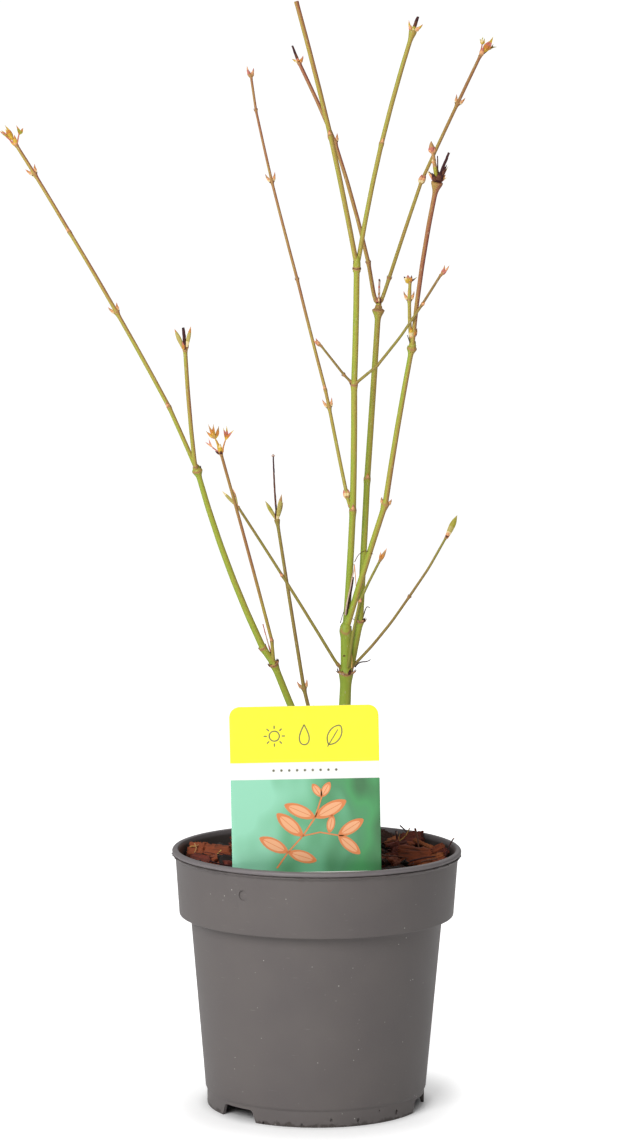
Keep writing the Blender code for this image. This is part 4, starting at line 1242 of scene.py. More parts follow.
# ---- plant label ----
@dataclass
class PlantLabel:
    """A plain printed card that narrows to a stake: colour bands, a leafy sprig and care signs."""

    width: float = 64.8
    top: float = 186.0
    shoulder: float = 112.0
    neck: float = 97.0
    point: float = 52.0
    stake: float = 18.0
    corner: float = 4.5
    thick: float = 0.6
    spot: Pair = (-4.2, -47.0)
    tilt: float = 1.37
    band: Pair = (154.4, 161.4)        # the white band between the picture and the yellow
    bleed: float = 0.4                 # white above the picture, below the band
    foot: float = 1.2                  # white below the picture, above the shoulder

    def lift(self, rows: Array) -> Array:
        """Set rows of (u, w, out from the front face) where the card stands.

        Args:
            rows: mm along the card, height, and mm proud of its front.

        Returns:
            Places, one row each.
        """
        a = math.radians(-self.tilt)
        up = rows[:, 1] - self.shoulder
        x = rows[:, 0] * math.cos(a) + up * math.sin(a) + self.spot[0]
        z = up * math.cos(a) - rows[:, 0] * math.sin(a) + self.shoulder
        return np.column_stack((x, self.spot[1] - self.thick / 2 - rows[:, 2], z))

    def half_width(self, height: float) -> float:
        """Measure half the card's width.

        Args:
            height: mm above the pot's foot.

        Returns:
            Half its width there, in mm.
        """
        if height > self.top - self.corner:
            rise = min(height - (self.top - self.corner), self.corner)
            return self.width / 2 - self.corner + math.sqrt(self.corner ** 2 - rise ** 2)
        marks = ((self.point, 0.15), (self.point + 12, self.stake * 0.4), (self.neck, self.stake / 2),
                 (self.shoulder, self.width / 2), (self.top, self.width / 2))
        return float(np.interp(height, *zip(*marks)))

    def card(self) -> None:
        """Build the card in rows, its front coloured by zone, its edges and back bare."""
        edges = [self.point, self.point + 12, self.neck, self.shoulder, self.shoulder + self.foot,
                 self.band[0] - self.bleed, *self.band, self.top - self.corner]
        heights = sorted({*edges, *np.arange(120, 154, 8.0), 170.0,
                          *(self.top - self.corner * (1 - math.sin(a)) for a in (0.35, 0.7, 1.05, 1.4)),
                          self.top - 0.01})
        across = np.array((-1.0, -0.985, -0.96, -0.6, -0.2, 0.2, 0.6, 0.96, 0.985, 1.0))
        front, back = [], []
        for height in heights:
            half = self.half_width(height)
            for share in across:
                soft = 0.09 if abs(share) == 1 else 0.0
                front.append((share * half, height, -soft))
                back.append((share * half, height, -self.thick + soft))
        points = self.lift(np.array(front + back))
        faces, finishes = slab(len(heights), len(across)), []
        for low, high in zip(heights, heights[1:]):
            middle = (low + high) / 2
            if middle > self.band[1]:
                printed = YELLOW_CARD
            elif middle > self.band[0] - self.bleed or middle < self.shoulder + self.foot:
                printed = WHITE_CARD
            else:
                printed = GREEN_CARD
            finishes += [printed, WHITE_CARD] * (len(across) - 1)
        finishes += [WHITE_CARD] * (len(faces) - len(finishes))
        draft = Draft()
        draft.add(points, faces, finishes)
        draft.piece("label_card", Slot.LABEL, "plant_label", smooth=25)

    def stroke(self, draft: Draft, points: Sequence[Pair], width: float, finish: Finish,
               thick: float = INK) -> None:
        """Print a line of even width through flat points.

        Args:
            draft: what it is added to.
            points: the points as (u, w).
            width: mm across the line.
            finish: its ink.
            thick: mm that the ink stands proud.
        """
        line = np.array(points, float)
        along = unit(np.gradient(line, axis=0))
        aside = np.column_stack((-along[:, 1], along[:, 0])) * width / 2
        rings = []
        for here, off in zip(line, aside):
            rows = np.array([(*(here - off), 0.0), (*(here + off), 0.0),
                             (*(here + off), thick), (*(here - off), thick)])
            rings.append(self.lift(rows))
        draft.loft(np.array(rings), finish)

    def petal(self, foot: Pair, turn: float, size: Pair, grow: float = 1.0) -> list[Pair]:
        """Return an oval leaf's outline.

        Args:
            foot: where it leaves its stem.
            turn: its way, in degrees from upright, clockwise.
            size: mm long and wide.
            grow: how large it is drawn about its own middle.

        Returns:
            Its corners.
        """
        way = np.array((math.sin(math.radians(turn)), math.cos(math.radians(turn))))
        side = np.array((way[1], -way[0]))
        middle = np.array(foot) + way * size[0] / 2
        found = [middle + (way * math.cos(a) * size[0] / 2
                           + side * math.sin(a) * (1 - 0.35 * abs(math.cos(a)) ** 3) * size[1] / 2) * grow
                 for a in turns(20)]
        return [(float(u), float(w)) for u, w in found]

    def picture(self) -> None:
        """Print a sprig of oval leaves, orange with paler hearts, on the green ground."""
        draft = Draft()
        stem = [(-13.0, 115.0), (-8.0, 122.0), (-1.5, 129.0), (4.0, 137.0), (7.0, 146.0)]
        self.stroke(draft, stem, 0.7, ORANGE_INK)
        self.stroke(draft, [(-1.5, 129.0), (6.0, 130.5), (14.0, 129.0)], 0.6, ORANGE_INK)
        leaves = (((-8.0, 122.0), -62, (14.0, 5.6)), ((-8.0, 122.0), 108, (13.0, 5.2)),
                  ((-1.5, 129.0), -48, (15.0, 6.0)), ((4.0, 137.0), -66, (14.5, 5.6)),
                  ((4.0, 137.0), 62, (15.5, 6.0)), ((7.0, 146.0), -34, (7.0, 3.4)),
                  ((7.0, 146.0), 30, (7.5, 3.6)), ((14.0, 129.0), 58, (13.0, 5.2)),
                  ((14.0, 129.0), 132, (12.5, 5.0)), ((10.0, 130.2), 12, (8.0, 3.6)))
        for foot, turn, size in leaves:
            draft.plate(self.petal(foot, turn, size), self.lift, ORANGE_INK, INK)
            draft.plate(self.petal(foot, turn, size, 0.72), self.lift, PEACH_INK, 0.08)
            way = (math.sin(math.radians(turn)), math.cos(math.radians(turn)))
            rib = [(foot[0] + way[0] * s * size[0], foot[1] + way[1] * s * size[0]) for s in (0, 0.45, 0.9)]
            self.stroke(draft, rib, 0.28, ORANGE_INK, 0.1)
        draft.piece("label_sprig", Slot.LABEL, "plant_label", smooth=25)

    def signs(self) -> None:
        """Print general care signs, a sun, a drop and a leaf, and a row of dots on the white band."""
        draft = Draft()
        round_way = np.linspace(0, math.tau, 25)
        sun, disc = (-13, 173), 2.2
        self.stroke(draft, [(sun[0] + disc * math.sin(a), sun[1] + disc * math.cos(a)) for a in round_way],
                    0.5, GREY_INK)
        for a in np.linspace(0, math.tau, 9)[:-1]:
            ray = [(sun[0] + r * math.sin(a), sun[1] + r * math.cos(a)) for r in (3.2, 3.9, 4.6)]
            self.stroke(draft, ray, 0.5, GREY_INK)
        drop = [(2.9 * math.sin(a) * (0.5 - 0.5 * math.cos(a)) ** 0.6, 173.4 + 4.4 * math.cos(a))
                for a in round_way]
        self.stroke(draft, drop, 0.5, GREY_INK)
        outline = self.petal((10.6, 169.0), 32, (9.6, 5.4))
        self.stroke(draft, [*outline, outline[0]], 0.5, GREY_INK)
        self.stroke(draft, [(10.0, 168.0), (12.2, 171.5), (14.6, 175.4)], 0.4, GREY_INK)
        for number in range(9):
            dot = oval((3.4 * (number - 4), 157.9), (0.55, 0.55), 12)
            draft.plate(dot, self.lift, GREY_INK, INK)
        draft.piece("label_signs", Slot.LABEL, "plant_label", smooth=25)

    def build(self) -> None:
        """Build the card and print it."""
        self.card()
        self.picture()
        self.signs()


# ---- shrub: how it grows ----
FOOT = (11.6, 6.0, 104.3)
FLARE = (6.2, 3.4)          # radius of the trunk's foot, and the height in which the flare falls off
STEP = 20.0                 # longest straight stretch of a shoot


@dataclass(frozen=True)
class Knot:
    """The form of a node, and the marks that fallen scales leave on it."""

    swell: float            # share of the stem's radius
    lean: float             # how much more it swells towards its buds
    ridge: float            # mm that its ring stands out
    cork: float             # how corky the ring is
    turn: float = 0.0       # degrees from +X round to its buds
    under: float = 1.0      # how far the swelling reaches down the stem, in radii
    over: float = 0.4       # how far it reaches up
    dome: float = 0.6       # height of the rounded end where a shoot ends in it, in radii
    dip: float = 0.25       # mm that its ring dips between its buds
    drop: float = 0.0       # mm that it stands below the fork


class Node(Enum):
    """The kinds of node."""

    RING = Knot(0.17, 0.15, 0.08, 0.80)
    PAIR = Knot(0.30, 0.50, 0.05, 0.60, under=1.5, dip=0.4)
    FRONT = Knot(0.26, 0.40, 0.05, 0.60, turn=90.0, under=1.3, over=0.45)
    TORN = Knot(0.26, 0.20, 0.12, 0.85, under=1.2, over=0.5, dip=0.6)
    SHEATH = Knot(0.26, 0.20, 0.04, 0.55, under=1.2, over=1.2)
    KNUCKLE = Knot(0.22, 0.10, 0.12, 0.55, under=0.9, over=1.2, dome=1.6, dip=1.1)
    CUP = Knot(1.05, 0.12, 0.10, 0.90, under=1.7, over=0.3, dome=0.5, drop=2.6)
    BULB = Knot(0.78, 0.20, 0.10, 0.70, under=1.2, over=1.0, dome=0.9, dip=0.5)
    BAND = Knot(0.42, 0.15, 0.10, 1.00, under=0.8, over=0.6, dome=0.5, drop=1.3)
    TRUMPET = Knot(1.30, 0.10, 0.04, 0.45, under=2.6, over=0.3, dome=0.15)
    FLARE = Knot(0.60, 0.30, 0.04, 0.35, under=2.4, over=0.3, dome=0.4)
    PLAIN = Knot(0.07, 0.00, 0.00, 0.20, under=1.1, over=1.1, dome=0.15)


@dataclass(frozen=True)
class Shoot:
    """One shoot: what it leaves, at which of its parent's nodes, how it grows on, and its nodes."""

    parent: str
    node: float             # counted from the parent's foot; a part of one is between nodes
    lean: Pair              # degrees from upright towards +X and towards +Y as it leaves
    sweep: Pair             # how much each lean changes over the whole length
    heel: float             # mm from its parent's axis to its own
    internodes: tuple[Pair, ...]        # (mm, turn towards +X in degrees at its foot)
    across: Pair            # mm across at its foot and at its tip
    kinds: tuple[Node, ...]             # its own inner nodes, then its last one
    # how ripe its bark is, from 0, green, to 1, purple: how much more on its right side, which ripens and
    # also holds painted shade as extra ripeness, then at its foot, middle and tip
    ripe: tuple[float, float, float, float]


RING, PAIR, FRONT, TORN, CUP = Node.RING, Node.PAIR, Node.FRONT, Node.TORN, Node.CUP
BULB, BAND, PLAIN, SHEATH = Node.BULB, Node.BAND, Node.PLAIN, Node.SHEATH

SHOOTS: dict[str, Shoot] = {
    "trunk": Shoot("", 0, (-0.3, -1.0), (4.8, 0.0), 0.0, ((27, 0.0), (63, -1.3), (19, -3.7)), (7.2, 4.6),
        (RING, TORN, Node.KNUCKLE), (0.15, 0.3, 0.15, 0.2)),
    "leader": Shoot("trunk", 3, (4.0, 3.0), (-5.4, -4.0), 0.0, ((54, 0.0), (56, -1.0), (53, 2.5)),
        (3.1, 2.65), (FRONT, RING, BAND), (0.2, 0.15, 0.3, 0.3)),
    "leader_left": Shoot("leader", 3, (-10.8, -6.0), (-4.4, -4.0), 0.0, ((59, 0.0), (60, -0.7)), (2.3, 2.0),
        (FRONT, PLAIN), (0.2, 0.45, 0.4, 0.6)),
    "leader_right": Shoot("leader", 3, (8.9, 5.0), (8.0, 3.0), 0.6, ((55, 0.0), (52, 0.5)), (2.1, 2.0),
        (FRONT, Node.FLARE), (0.15, 0.4, 0.4, 0.4)),
    "back": Shoot("trunk", 2, (10.9, 7.0), (-1.1, 0.0), 3.6, ((21, 0.0), (64, -7.9), (79, 1.4)), (3.0, 2.6),
        (TORN, FRONT, CUP), (0.2, 0.2, 0.25, 0.4)),
    "back_left": Shoot("back", 3, (-9.0, 6.0), (-11.3, 6.0), 2.9, ((17, 0.0), (57, -2.3), (40, -3.9)),
        (1.9, 1.7), (RING, PAIR, RING), (0.15, 0.55, 0.6, 0.7)),
    "back_right": Shoot("back", 3, (18.2, 14.0), (2.4, 2.0), 2.2,
        ((11, 0.0), (48, -0.4), (40, 5.6), (25, -0.1)), (1.75, 1.45), (RING, SHEATH, PAIR, RING),
        (0.1, 0.45, 0.5, 0.65)),
    "right": Shoot("trunk", 3, (15.8, -5.0), (4.4, 4.0), 0.0, ((60, 0.0), (70, -9.8)), (2.85, 2.3),
        (PAIR, BULB), (0.3, 0.2, 0.4, 0.3)),
    "right_tall": Shoot("right", 2, (4.5, -14.0), (6.5, -5.0), 0.5, ((76, 0.0),), (1.95, 2.15),
        (Node.TRUMPET,), (0.2, 0.45, 0.7, 0.6)),
    "right_spur": Shoot("right", 2, (-7.0, 10.0), (10.8, 0.0), 0.0, ((22, 0.0), (8, 0.0)), (1.8, 1.4),
        (PAIR, RING), (0.15, 0.4, 0.45, 0.45)),
    "left": Shoot("trunk", 1, (-29.3, -3.0), (19.7, -2.0), 0.0, ((74, 0.0), (9, -13.9), (85, 8.3)),
        (3.6, 2.4), (TORN, RING, BULB), (0.15, 0.2, 0.25, 0.25)),
    "left_far": Shoot("left", 3, (-23.5, 2.0), (-6.3, 4.0), 0.0,
        ((31, 0.0), (48, -3.6), (41, 0.1), (30, 0.8), (15, -0.5)), (2.0, 1.55),
        (FRONT, PAIR, FRONT, PAIR, RING), (0.25, 0.3, 0.45, 0.5)),
    "left_spur": Shoot("left", 3, (-6.2, -14.0), (3.5, 4.0), 3.1, ((53, 0.0),), (1.95, 1.8), (RING,),
        (0.2, 0.35, 0.5, 0.4)),
    "left_front": Shoot("left", 1, (-4.7, -16.0), (-1.3, -4.0), 0.9, ((11, 0.0), (92, -9.1)), (1.6, 1.35),
        (FRONT, RING), (0.05, 0.4, 0.65, 0.6)),
    "low_back": Shoot("trunk", 0.6, (-14.3, 8.0), (1.0, -2.0), 3.0, ((66, 0.0), (77, 4.2)), (1.9, 1.5),
        (PAIR, Node.FLARE), (0.1, 0.35, 0.5, 0.5)),
    "fork_front": Shoot("trunk", 2, (5.6, -15.0), (11.8, -4.0), 2.8, ((33, 0.0), (22, 9.9)), (1.5, 1.15),
        (FRONT, RING), (0.05, 0.35, 0.35, 0.4)),
    "fork_left": Shoot("trunk", 2, (-30.5, -13.0), (-2.7, 8.0), 5.7, ((48, 0.0), (37, 0.0)), (1.5, 1.2),
        (FRONT, RING), (0.05, 0.45, 0.45, 0.5)),
    "fork_right": Shoot("trunk", 2, (46.0, 14.0), (-22.2, 2.0), 2.7, ((42, 0.0), (32, 3.8)), (1.4, 1.1),
        (RING, RING), (0.05, 0.5, 0.55, 0.4)),
    "mid_right": Shoot("leader", 2, (51.5, -33.0), (-17.0, 16.0), 1.3, ((13, 0.0), (36, -8.0), (16, 2.8)),
        (1.35, 1.15), (PLAIN, FRONT, RING), (0.05, 0.5, 0.45, 0.6)),
    "mid_left": Shoot("leader", 2, (-45.0, -12.0), (10.9, 0.0), 2.4, ((4, 0.0), (17, 0.0)), (1.2, 1.05),
        (RING, RING), (0.05, 0.55, 0.55, 0.55)),
    "tall_left": Shoot("leader", 1, (-13.3, 12.0), (4.2, 2.0), 2.7,
        ((5, 0.0), (41, 1.0), (8, -1.4), (52, -2.6), (47, -1.3), (34, 1.1), (16, 3.8)), (1.65, 1.15),
        (SHEATH, PAIR, FRONT, RING, PAIR, RING, RING), (0.1, 0.35, 0.6, 0.65)),
}


class Growth(Enum):
    """What may stand on a node."""

    BUD = 1         # a closed bud with its scales
    SCALE = 2       # one bud scale or bract
    LANCE = 3       # a young leaf still folded, broad and flat
    LEAF = 4        # a young leaf on its stalk, lobes apart
    STUB = 5        # a dead end


@dataclass(frozen=True)
class Tip:
    """One bud, scale, leaf or stub: mm long and wide, its lean, and its colours from foot to tip."""

    kind: Growth
    size: Pair
    lean: Pair
    tints: tuple[Tint, ...]
    bud: float = 0.0        # length of a bud on a stub's end
    stalk: float = 0.0      # share of a leaf's length that is its stalk
    lobes: int = 3
    spread: float = 20.0    # degrees between lobes
    start: float = 0.0      # mm along its own line from the node to its foot


BUD, SCALE, LANCE, LEAF, STUB = Growth.BUD, Growth.SCALE, Growth.LANCE, Growth.LEAF, Growth.STUB
CREAM, PEACH, PINK, GOLD, ORANGE, OLIVE = (Tint.CREAM, Tint.PEACH, Tint.PINK, Tint.GOLD, Tint.ORANGE,
                                           Tint.OLIVE)
TAN, UMBER, DEAD, PALE, SAGE = Tint.TAN, Tint.UMBER, Tint.DEAD, Tint.PALE, Tint.SAGE

# What stands on the last node of a shoot.
TIPS: dict[str, tuple[Tip, ...]] = {
    "trunk": (
        Tip(SCALE, (3.4, 1.9), (38, -20), (UMBER, DEAD)),
        Tip(SCALE, (3.2, 1.5), (-34, -12), (DEAD,)),
        Tip(SCALE, (2.6, 1.3), (12, -50), (TAN, UMBER)),
    ),
    "leader_right": (
        Tip(BUD, (5.8, 1.4), (-15, 8), (PINK, PEACH, GOLD, PEACH)),
        Tip(BUD, (5.6, 1.5), (51, -8), (CREAM, PEACH, GOLD, ORANGE)),
        Tip(STUB, (6.9, 1.7), (17, 0), (OLIVE, UMBER, DEAD)),
        Tip(SCALE, (2.0, 1.2), (4, -20), (OLIVE, CREAM)),
    ),
    "back_left": (
        Tip(SCALE, (3.9, 1.1), (-60, -6), (PINK, CREAM, GOLD, TAN)),
        Tip(BUD, (4.0, 1.35), (25, -12), (PEACH, ORANGE, PINK)),
        Tip(STUB, (8.1, 1.35), (-24, 4), (PINK, UMBER, DEAD, DEAD)),
        Tip(SCALE, (2.4, 1.3), (-10, -35), (UMBER, ORANGE)),
    ),
    "back_right": (
        Tip(LEAF, (9.6, 1.2), (5, 8), (PINK, OLIVE, GOLD, CREAM), stalk=0.6, spread=24.0),
        Tip(LEAF, (10.4, 2.4), (33, -8), (PEACH, GOLD, ORANGE, PINK), stalk=0.24, spread=11.0),
        Tip(LEAF, (9.0, 1.4), (49, 14), (UMBER, OLIVE, GOLD), stalk=0.54, lobes=2, spread=30.0),
        Tip(SCALE, (4.6, 2.2), (17, -16), (TAN, PEACH, PINK)),
        Tip(SCALE, (4.8, 1.7), (6, 4), (TAN, ORANGE, PINK)),
        Tip(SCALE, (4.2, 1.6), (32, 8), (PEACH, PINK)),
    ),
    "right_tall": (
        Tip(STUB, (14.0, 1.5), (21, -8), (UMBER, DEAD, DEAD, DEAD)),
        Tip(STUB, (11.8, 0.65), (3, -16), (UMBER, DEAD)),
        Tip(SCALE, (9.4, 1.9), (26, -14), (UMBER, DEAD, DEAD)),
        Tip(STUB, (13.8, 1.9), (-9, -14), (OLIVE, OLIVE, TAN, TAN), bud=5.4),
        Tip(SCALE, (6.6, 2.6), (14, -30), (DEAD, UMBER, DEAD)),
        Tip(SCALE, (7.2, 2.4), (27, -24), (UMBER, DEAD, UMBER)),
        Tip(SCALE, (7.6, 2.2), (1, 10), (DEAD, DEAD, UMBER)),
        Tip(SCALE, (5.4, 2.4), (-26, -24), (DEAD, UMBER, DEAD)),
        Tip(SCALE, (6.4, 2.0), (-34, -8), (UMBER, PINK, DEAD)),
        Tip(SCALE, (5.2, 2.2), (44, -16), (DEAD, UMBER, ORANGE)),
        Tip(SCALE, (2.6, 1.7), (-9, -13), (PEACH, PINK), start=8.4),
        Tip(SCALE, (2.2, 1.1), (-13, -16), (PEACH, CREAM), start=8.6),
        Tip(SCALE, (7.0, 1.5), (-39, -16), (UMBER, PINK, PEACH, CREAM)),
        Tip(SCALE, (7.8, 1.2), (-5, 6), (DEAD, UMBER, UMBER)),
        Tip(SCALE, (8.8, 1.3), (32, 8), (DEAD, UMBER, PINK, GOLD)),
        Tip(SCALE, (4.8, 1.3), (60, -14), (UMBER, PINK, CREAM)),
    ),
    "right_spur": (
        Tip(SCALE, (8.4, 1.75), (2.5, 10), (OLIVE, PEACH, ORANGE, GOLD), start=-7.8),
        Tip(BUD, (3.8, 2.2), (-46, -6), (GOLD, GOLD, CREAM, DEAD)),
        Tip(BUD, (3.6, 2.3), (-12, 6), (ORANGE, PEACH, PINK)),
        Tip(SCALE, (3.4, 1.4), (10, -8), (ORANGE, ORANGE, UMBER)),
        Tip(SCALE, (4.0, 0.8), (54, 4), (TAN, UMBER, OLIVE)),
    ),
    "left_far": (
        Tip(LEAF, (9.8, 1.4), (-46, -8), (PINK, GOLD, OLIVE, PINK), stalk=0.58, lobes=2, spread=34.0),
        Tip(LEAF, (10.4, 2.2), (-25, 10), (ORANGE, GOLD, GOLD, ORANGE), stalk=0.3, spread=15.0),
        Tip(LEAF, (9.2, 1.5), (9, -6), (PINK, ORANGE, OLIVE), stalk=0.56, lobes=2, spread=50.0),
        Tip(SCALE, (3.4, 1.5), (-56, 4), (TAN, GOLD, ORANGE)),
        Tip(SCALE, (5.0, 1.9), (-7, -8), (PEACH, GOLD, ORANGE)),
    ),
    "left_spur": (
        Tip(STUB, (9.4, 1.75), (-3, -4), (UMBER, DEAD, DEAD, DEAD)),
        Tip(LANCE, (10.6, 2.0), (-25, 4), (TAN, SAGE, SAGE, SAGE, SAGE, ORANGE)),
        Tip(LANCE, (11.2, 1.8), (12, -8), (TAN, CREAM, SAGE, SAGE, ORANGE)),
        Tip(SCALE, (4.4, 1.4), (-14, -16), (GOLD, ORANGE, PINK)),
        Tip(SCALE, (3.0, 1.2), (30, -10), (TAN, UMBER)),
    ),
    "left_front": (
        Tip(LEAF, (9.0, 1.2), (-49, -8), (PINK, PINK, PEACH), stalk=0.5, lobes=2, spread=34.0),
        Tip(LEAF, (14.6, 1.6), (-17, 10), (GOLD, TAN, GOLD, ORANGE), stalk=0.5, lobes=4, spread=24.0),
        Tip(LEAF, (13.4, 1.3), (13, -10), (ORANGE, GOLD, ORANGE, PINK), stalk=0.5, spread=26.0),
        Tip(SCALE, (7.0, 1.6), (-16, 12), (ORANGE, GOLD, ORANGE)),
        Tip(SCALE, (3.0, 1.4), (-66, -12), (UMBER, DEAD)),
        Tip(SCALE, (2.4, 1.4), (0, -50), (DEAD, UMBER)),
        Tip(SCALE, (5.2, 2.0), (-4, -6), (TAN, GOLD, CREAM)),
        Tip(SCALE, (3.9, 1.1), (18, -12), (ORANGE, PEACH)),
    ),
    "low_back": (
        Tip(LANCE, (10.4, 1.8), (-31, 8), (SAGE, SAGE, OLIVE, SAGE)),
        Tip(LANCE, (12.6, 2.1), (9, -12), (CREAM, SAGE, SAGE, SAGE, TAN)),
        Tip(LANCE, (9.0, 1.2), (17, 12), (TAN, SAGE, TAN)),
        Tip(STUB, (29.3, 0.95), (-5.6, 4), (DEAD, UMBER, UMBER, DEAD), bud=1.2),
        Tip(SCALE, (4.4, 1.2), (-7, 0), (UMBER, DEAD)),
    ),
    "fork_front": (
        Tip(SCALE, (4.6, 1.3), (2, -22), (TAN, ORANGE, PEACH)),
        Tip(SCALE, (6.8, 1.7), (26, -18), (TAN, ORANGE, TAN, PEACH)),
    ),
    "fork_left": (
        Tip(LANCE, (10.3, 1.5), (-44, -6), (PEACH, SAGE, SAGE, CREAM)),
        Tip(LANCE, (8.8, 1.4), (-15, 12), (PEACH, SAGE, TAN, PEACH)),
    ),
    "fork_right": (
        Tip(SCALE, (4.6, 1.8), (24, 10), (UMBER, PEACH, CREAM)),
        Tip(LANCE, (11.9, 2.8), (26, 14), (PEACH, CREAM, SAGE, OLIVE, OLIVE, SAGE)),
    ),
    "mid_right": (
        Tip(BUD, (4.9, 1.3), (17, -6), (TAN, PINK, ORANGE)),
        Tip(BUD, (6.0, 1.3), (39, -22), (TAN, PINK, PEACH, ORANGE)),
    ),
    "mid_left": (
        Tip(BUD, (4.3, 1.3), (-51, -2), (TAN, PINK, PEACH)),
        Tip(BUD, (4.7, 1.3), (-31, -24), (TAN, PEACH, PINK)),
    ),
    "tall_left": (
        Tip(BUD, (5.7, 1.35), (-18, 6), (TAN, PINK, PEACH)),
        Tip(BUD, (5.1, 1.35), (13, 22), (TAN, PEACH, PINK)),
    ),
}

# What stands at the foot of a shoot: stubs where an older one was cut, and bracts.
FEET: dict[str, tuple[Tip, ...]] = {
    "back_left": (
        Tip(STUB, (11.4, 1.15), (2, 4), (PINK, PALE, PINK, PALE, TAN, PALE, PALE, PINK, PALE, UMBER)),
        Tip(SCALE, (3.6, 1.2), (0, -10), (TAN, CREAM)),
        Tip(SCALE, (3.0, 1.6), (-14, -14), (UMBER, PINK)),
        Tip(SCALE, (3.2, 1.4), (12, -10), (UMBER, UMBER)),
    ),
    "left_front": (
        Tip(STUB, (18.7, 0.7), (-17, 12), (DEAD, PINK, PALE, PINK)),
        Tip(SCALE, (6.4, 1.4), (-14, 4), (PEACH, DEAD, DEAD)),
    ),
    "right_tall": (
        Tip(SCALE, (5.4, 2.2), (-3, -22), (PEACH, CREAM, GOLD, ORANGE), start=5.2),
        Tip(SCALE, (4.6, 1.8), (8, -20), (PINK, ORANGE, GOLD), start=5.4),
        Tip(SCALE, (4.0, 1.4), (14, -8), (UMBER, PEACH, ORANGE), start=5.6),
        Tip(STUB, (5.4, 0.45), (-17, -14), (DEAD,), start=1.2),
        Tip(SCALE, (2.6, 1.5), (48, -10), (UMBER, TAN)),
        Tip(SCALE, (2.4, 1.6), (-46, -12), (TAN, DEAD)),
    ),
    "mid_left": (
        Tip(SCALE, (2.8, 1.9), (-58, -14), (UMBER, DEAD)),
        Tip(SCALE, (2.2, 1.4), (-20, -20), (TAN,)),
    ),
    "mid_right": (
        Tip(SCALE, (2.4, 1.5), (55, -10), (TAN, UMBER)),
    ),
    "leader_left": (
        Tip(SCALE, (2.8, 1.6), (-30, -16), (TAN, UMBER)),
        Tip(SCALE, (2.4, 1.4), (26, -14), (TAN,)),
    ),
    "left_far": (
        Tip(SCALE, (3.2, 1.8), (26, -12), (UMBER, DEAD)),
        Tip(SCALE, (2.8, 1.8), (-6, -34), (GOLD, TAN)),
    ),
}

# Hairs, sheaths and tendrils caught in the forks, one of them dark partly as painted shade: the limb's piece,
# points, radius, tint.
CAUGHT: tuple[tuple[str, tuple[Triple, ...], float, Tint], ...] = (
    ("trunk", ((11.4, 2.1, 202.2), (12.2, 1.8, 202.4), (13.0, 2.1, 202.1)), 0.4, UMBER),     # a healed scar
    ("trunk", ((15.2, 1.2, 196.8), (15.5, 1.0, 200.5), (15.0, 1.4, 204.0)), 0.3, Tint.STRAW),
    ("trunk", ((16.8, 8.0, 196.5), (18.2, 9.5, 198.1), (20.4, 10.0, 198.8),
               (22.0, 10.0, 198.5), (23.8, 9.4, 199.7)), 0.4, DEAD),
    ("trunk", ((12.3, 2.6, 220.5), (12.8, 2.5, 224.6), (13.9, 2.3, 230.0), (14.9, 2.3, 234.9),
               (15.6, 2.2, 239.0), (16.3, 1.8, 242.1), (16.1, 1.2, 243.5)), 0.42, PALE),
    # the sheath's dark inner side: a real sheath, its dark tint partly painted shade
    ("trunk", ((12.7, 3.2, 220.4), (13.6, 3.2, 225.4), (14.6, 3.2, 229.9),
               (15.5, 3.2, 234.8), (15.8, 3.2, 237.5)), 0.62, DEAD),
    ("trunk", ((16.2, 1.4, 243.1), (16.6, 1.4, 239.0), (17.0, 1.6, 233.6)), 0.28, PEACH),
    ("trunk", ((10.1, 1.4, 217.0), (10.9, 1.0, 220.2), (12.0, 1.4, 223.3)), 0.2, DEAD),
    ("trunk", ((16.3, 1.4, 244.4), (17.8, 1.0, 247.6), (20.0, 0.6, 249.4),
               (21.8, 0.4, 249.7), (24.6, 0.2, 248.0)), 0.2, UMBER),
    ("trunk", ((20.1, 11.0, 217.9), (21.0, 11.0, 221.0), (21.7, 11.0, 223.3),
               (22.3, 10.8, 224.0), (23.4, 10.6, 222.9)), 0.32, DEAD),
)


@dataclass
class Course:
    """The eased course of one shoot."""

    corners: Array                  # the growth rule's own points
    nodes: list[int]                # which corners are nodes; the first is the shoot's own foot
    across: Pair
    line: Array = field(init=False)
    run: Array = field(init=False)
    node_runs: list[float] = field(init=False)

    def __post_init__(self) -> None:
        """Ease each stretch between nodes."""
        ends = [0, *self.nodes[1:]]
        parts, reached, total = [], [], 0.0
        for low, high in zip(ends, ends[1:]):
            part = softened(self.corners[low:high + 1], 0.8, 14)
            total += float(np.linalg.norm(np.diff(part, axis=0), axis=1).sum())
            reached.append(total)
            parts.append(part if not parts else part[1:])
        self.line = np.concatenate(parts)
        self.run = runs_along(self.line)
        foot = np.linalg.norm(self.line - self.corners[self.nodes[0]], axis=1).argmin()
        self.node_runs = [float(self.run[foot]), *reached]

    def at_node(self, number: float) -> Array:
        """Find a node, or a place between two nodes.

        Args:
            number: counted from the foot.

        Returns:
            Its point.
        """
        low = int(math.floor(number))
        first = self.corners[self.nodes[low]]
        share = number - low
        return first if share == 0 else first + (self.corners[self.nodes[low + 1]] - first) * share

    def at(self, run: Array) -> Array:
        """Return the points at these runs."""
        return walked(self.line, self.run, run)

    def way(self, run: float) -> Array:
        """Return the unit direction at a run."""
        ends = self.at(np.array((run - 1.5, run + 1.5)))
        return unit(ends[1] - ends[0])

    def radius(self, run: Array) -> Array:
        """Return the bare radius at these runs."""
        return np.interp(run, (0, self.run[-1]), np.array(self.across) / 2)


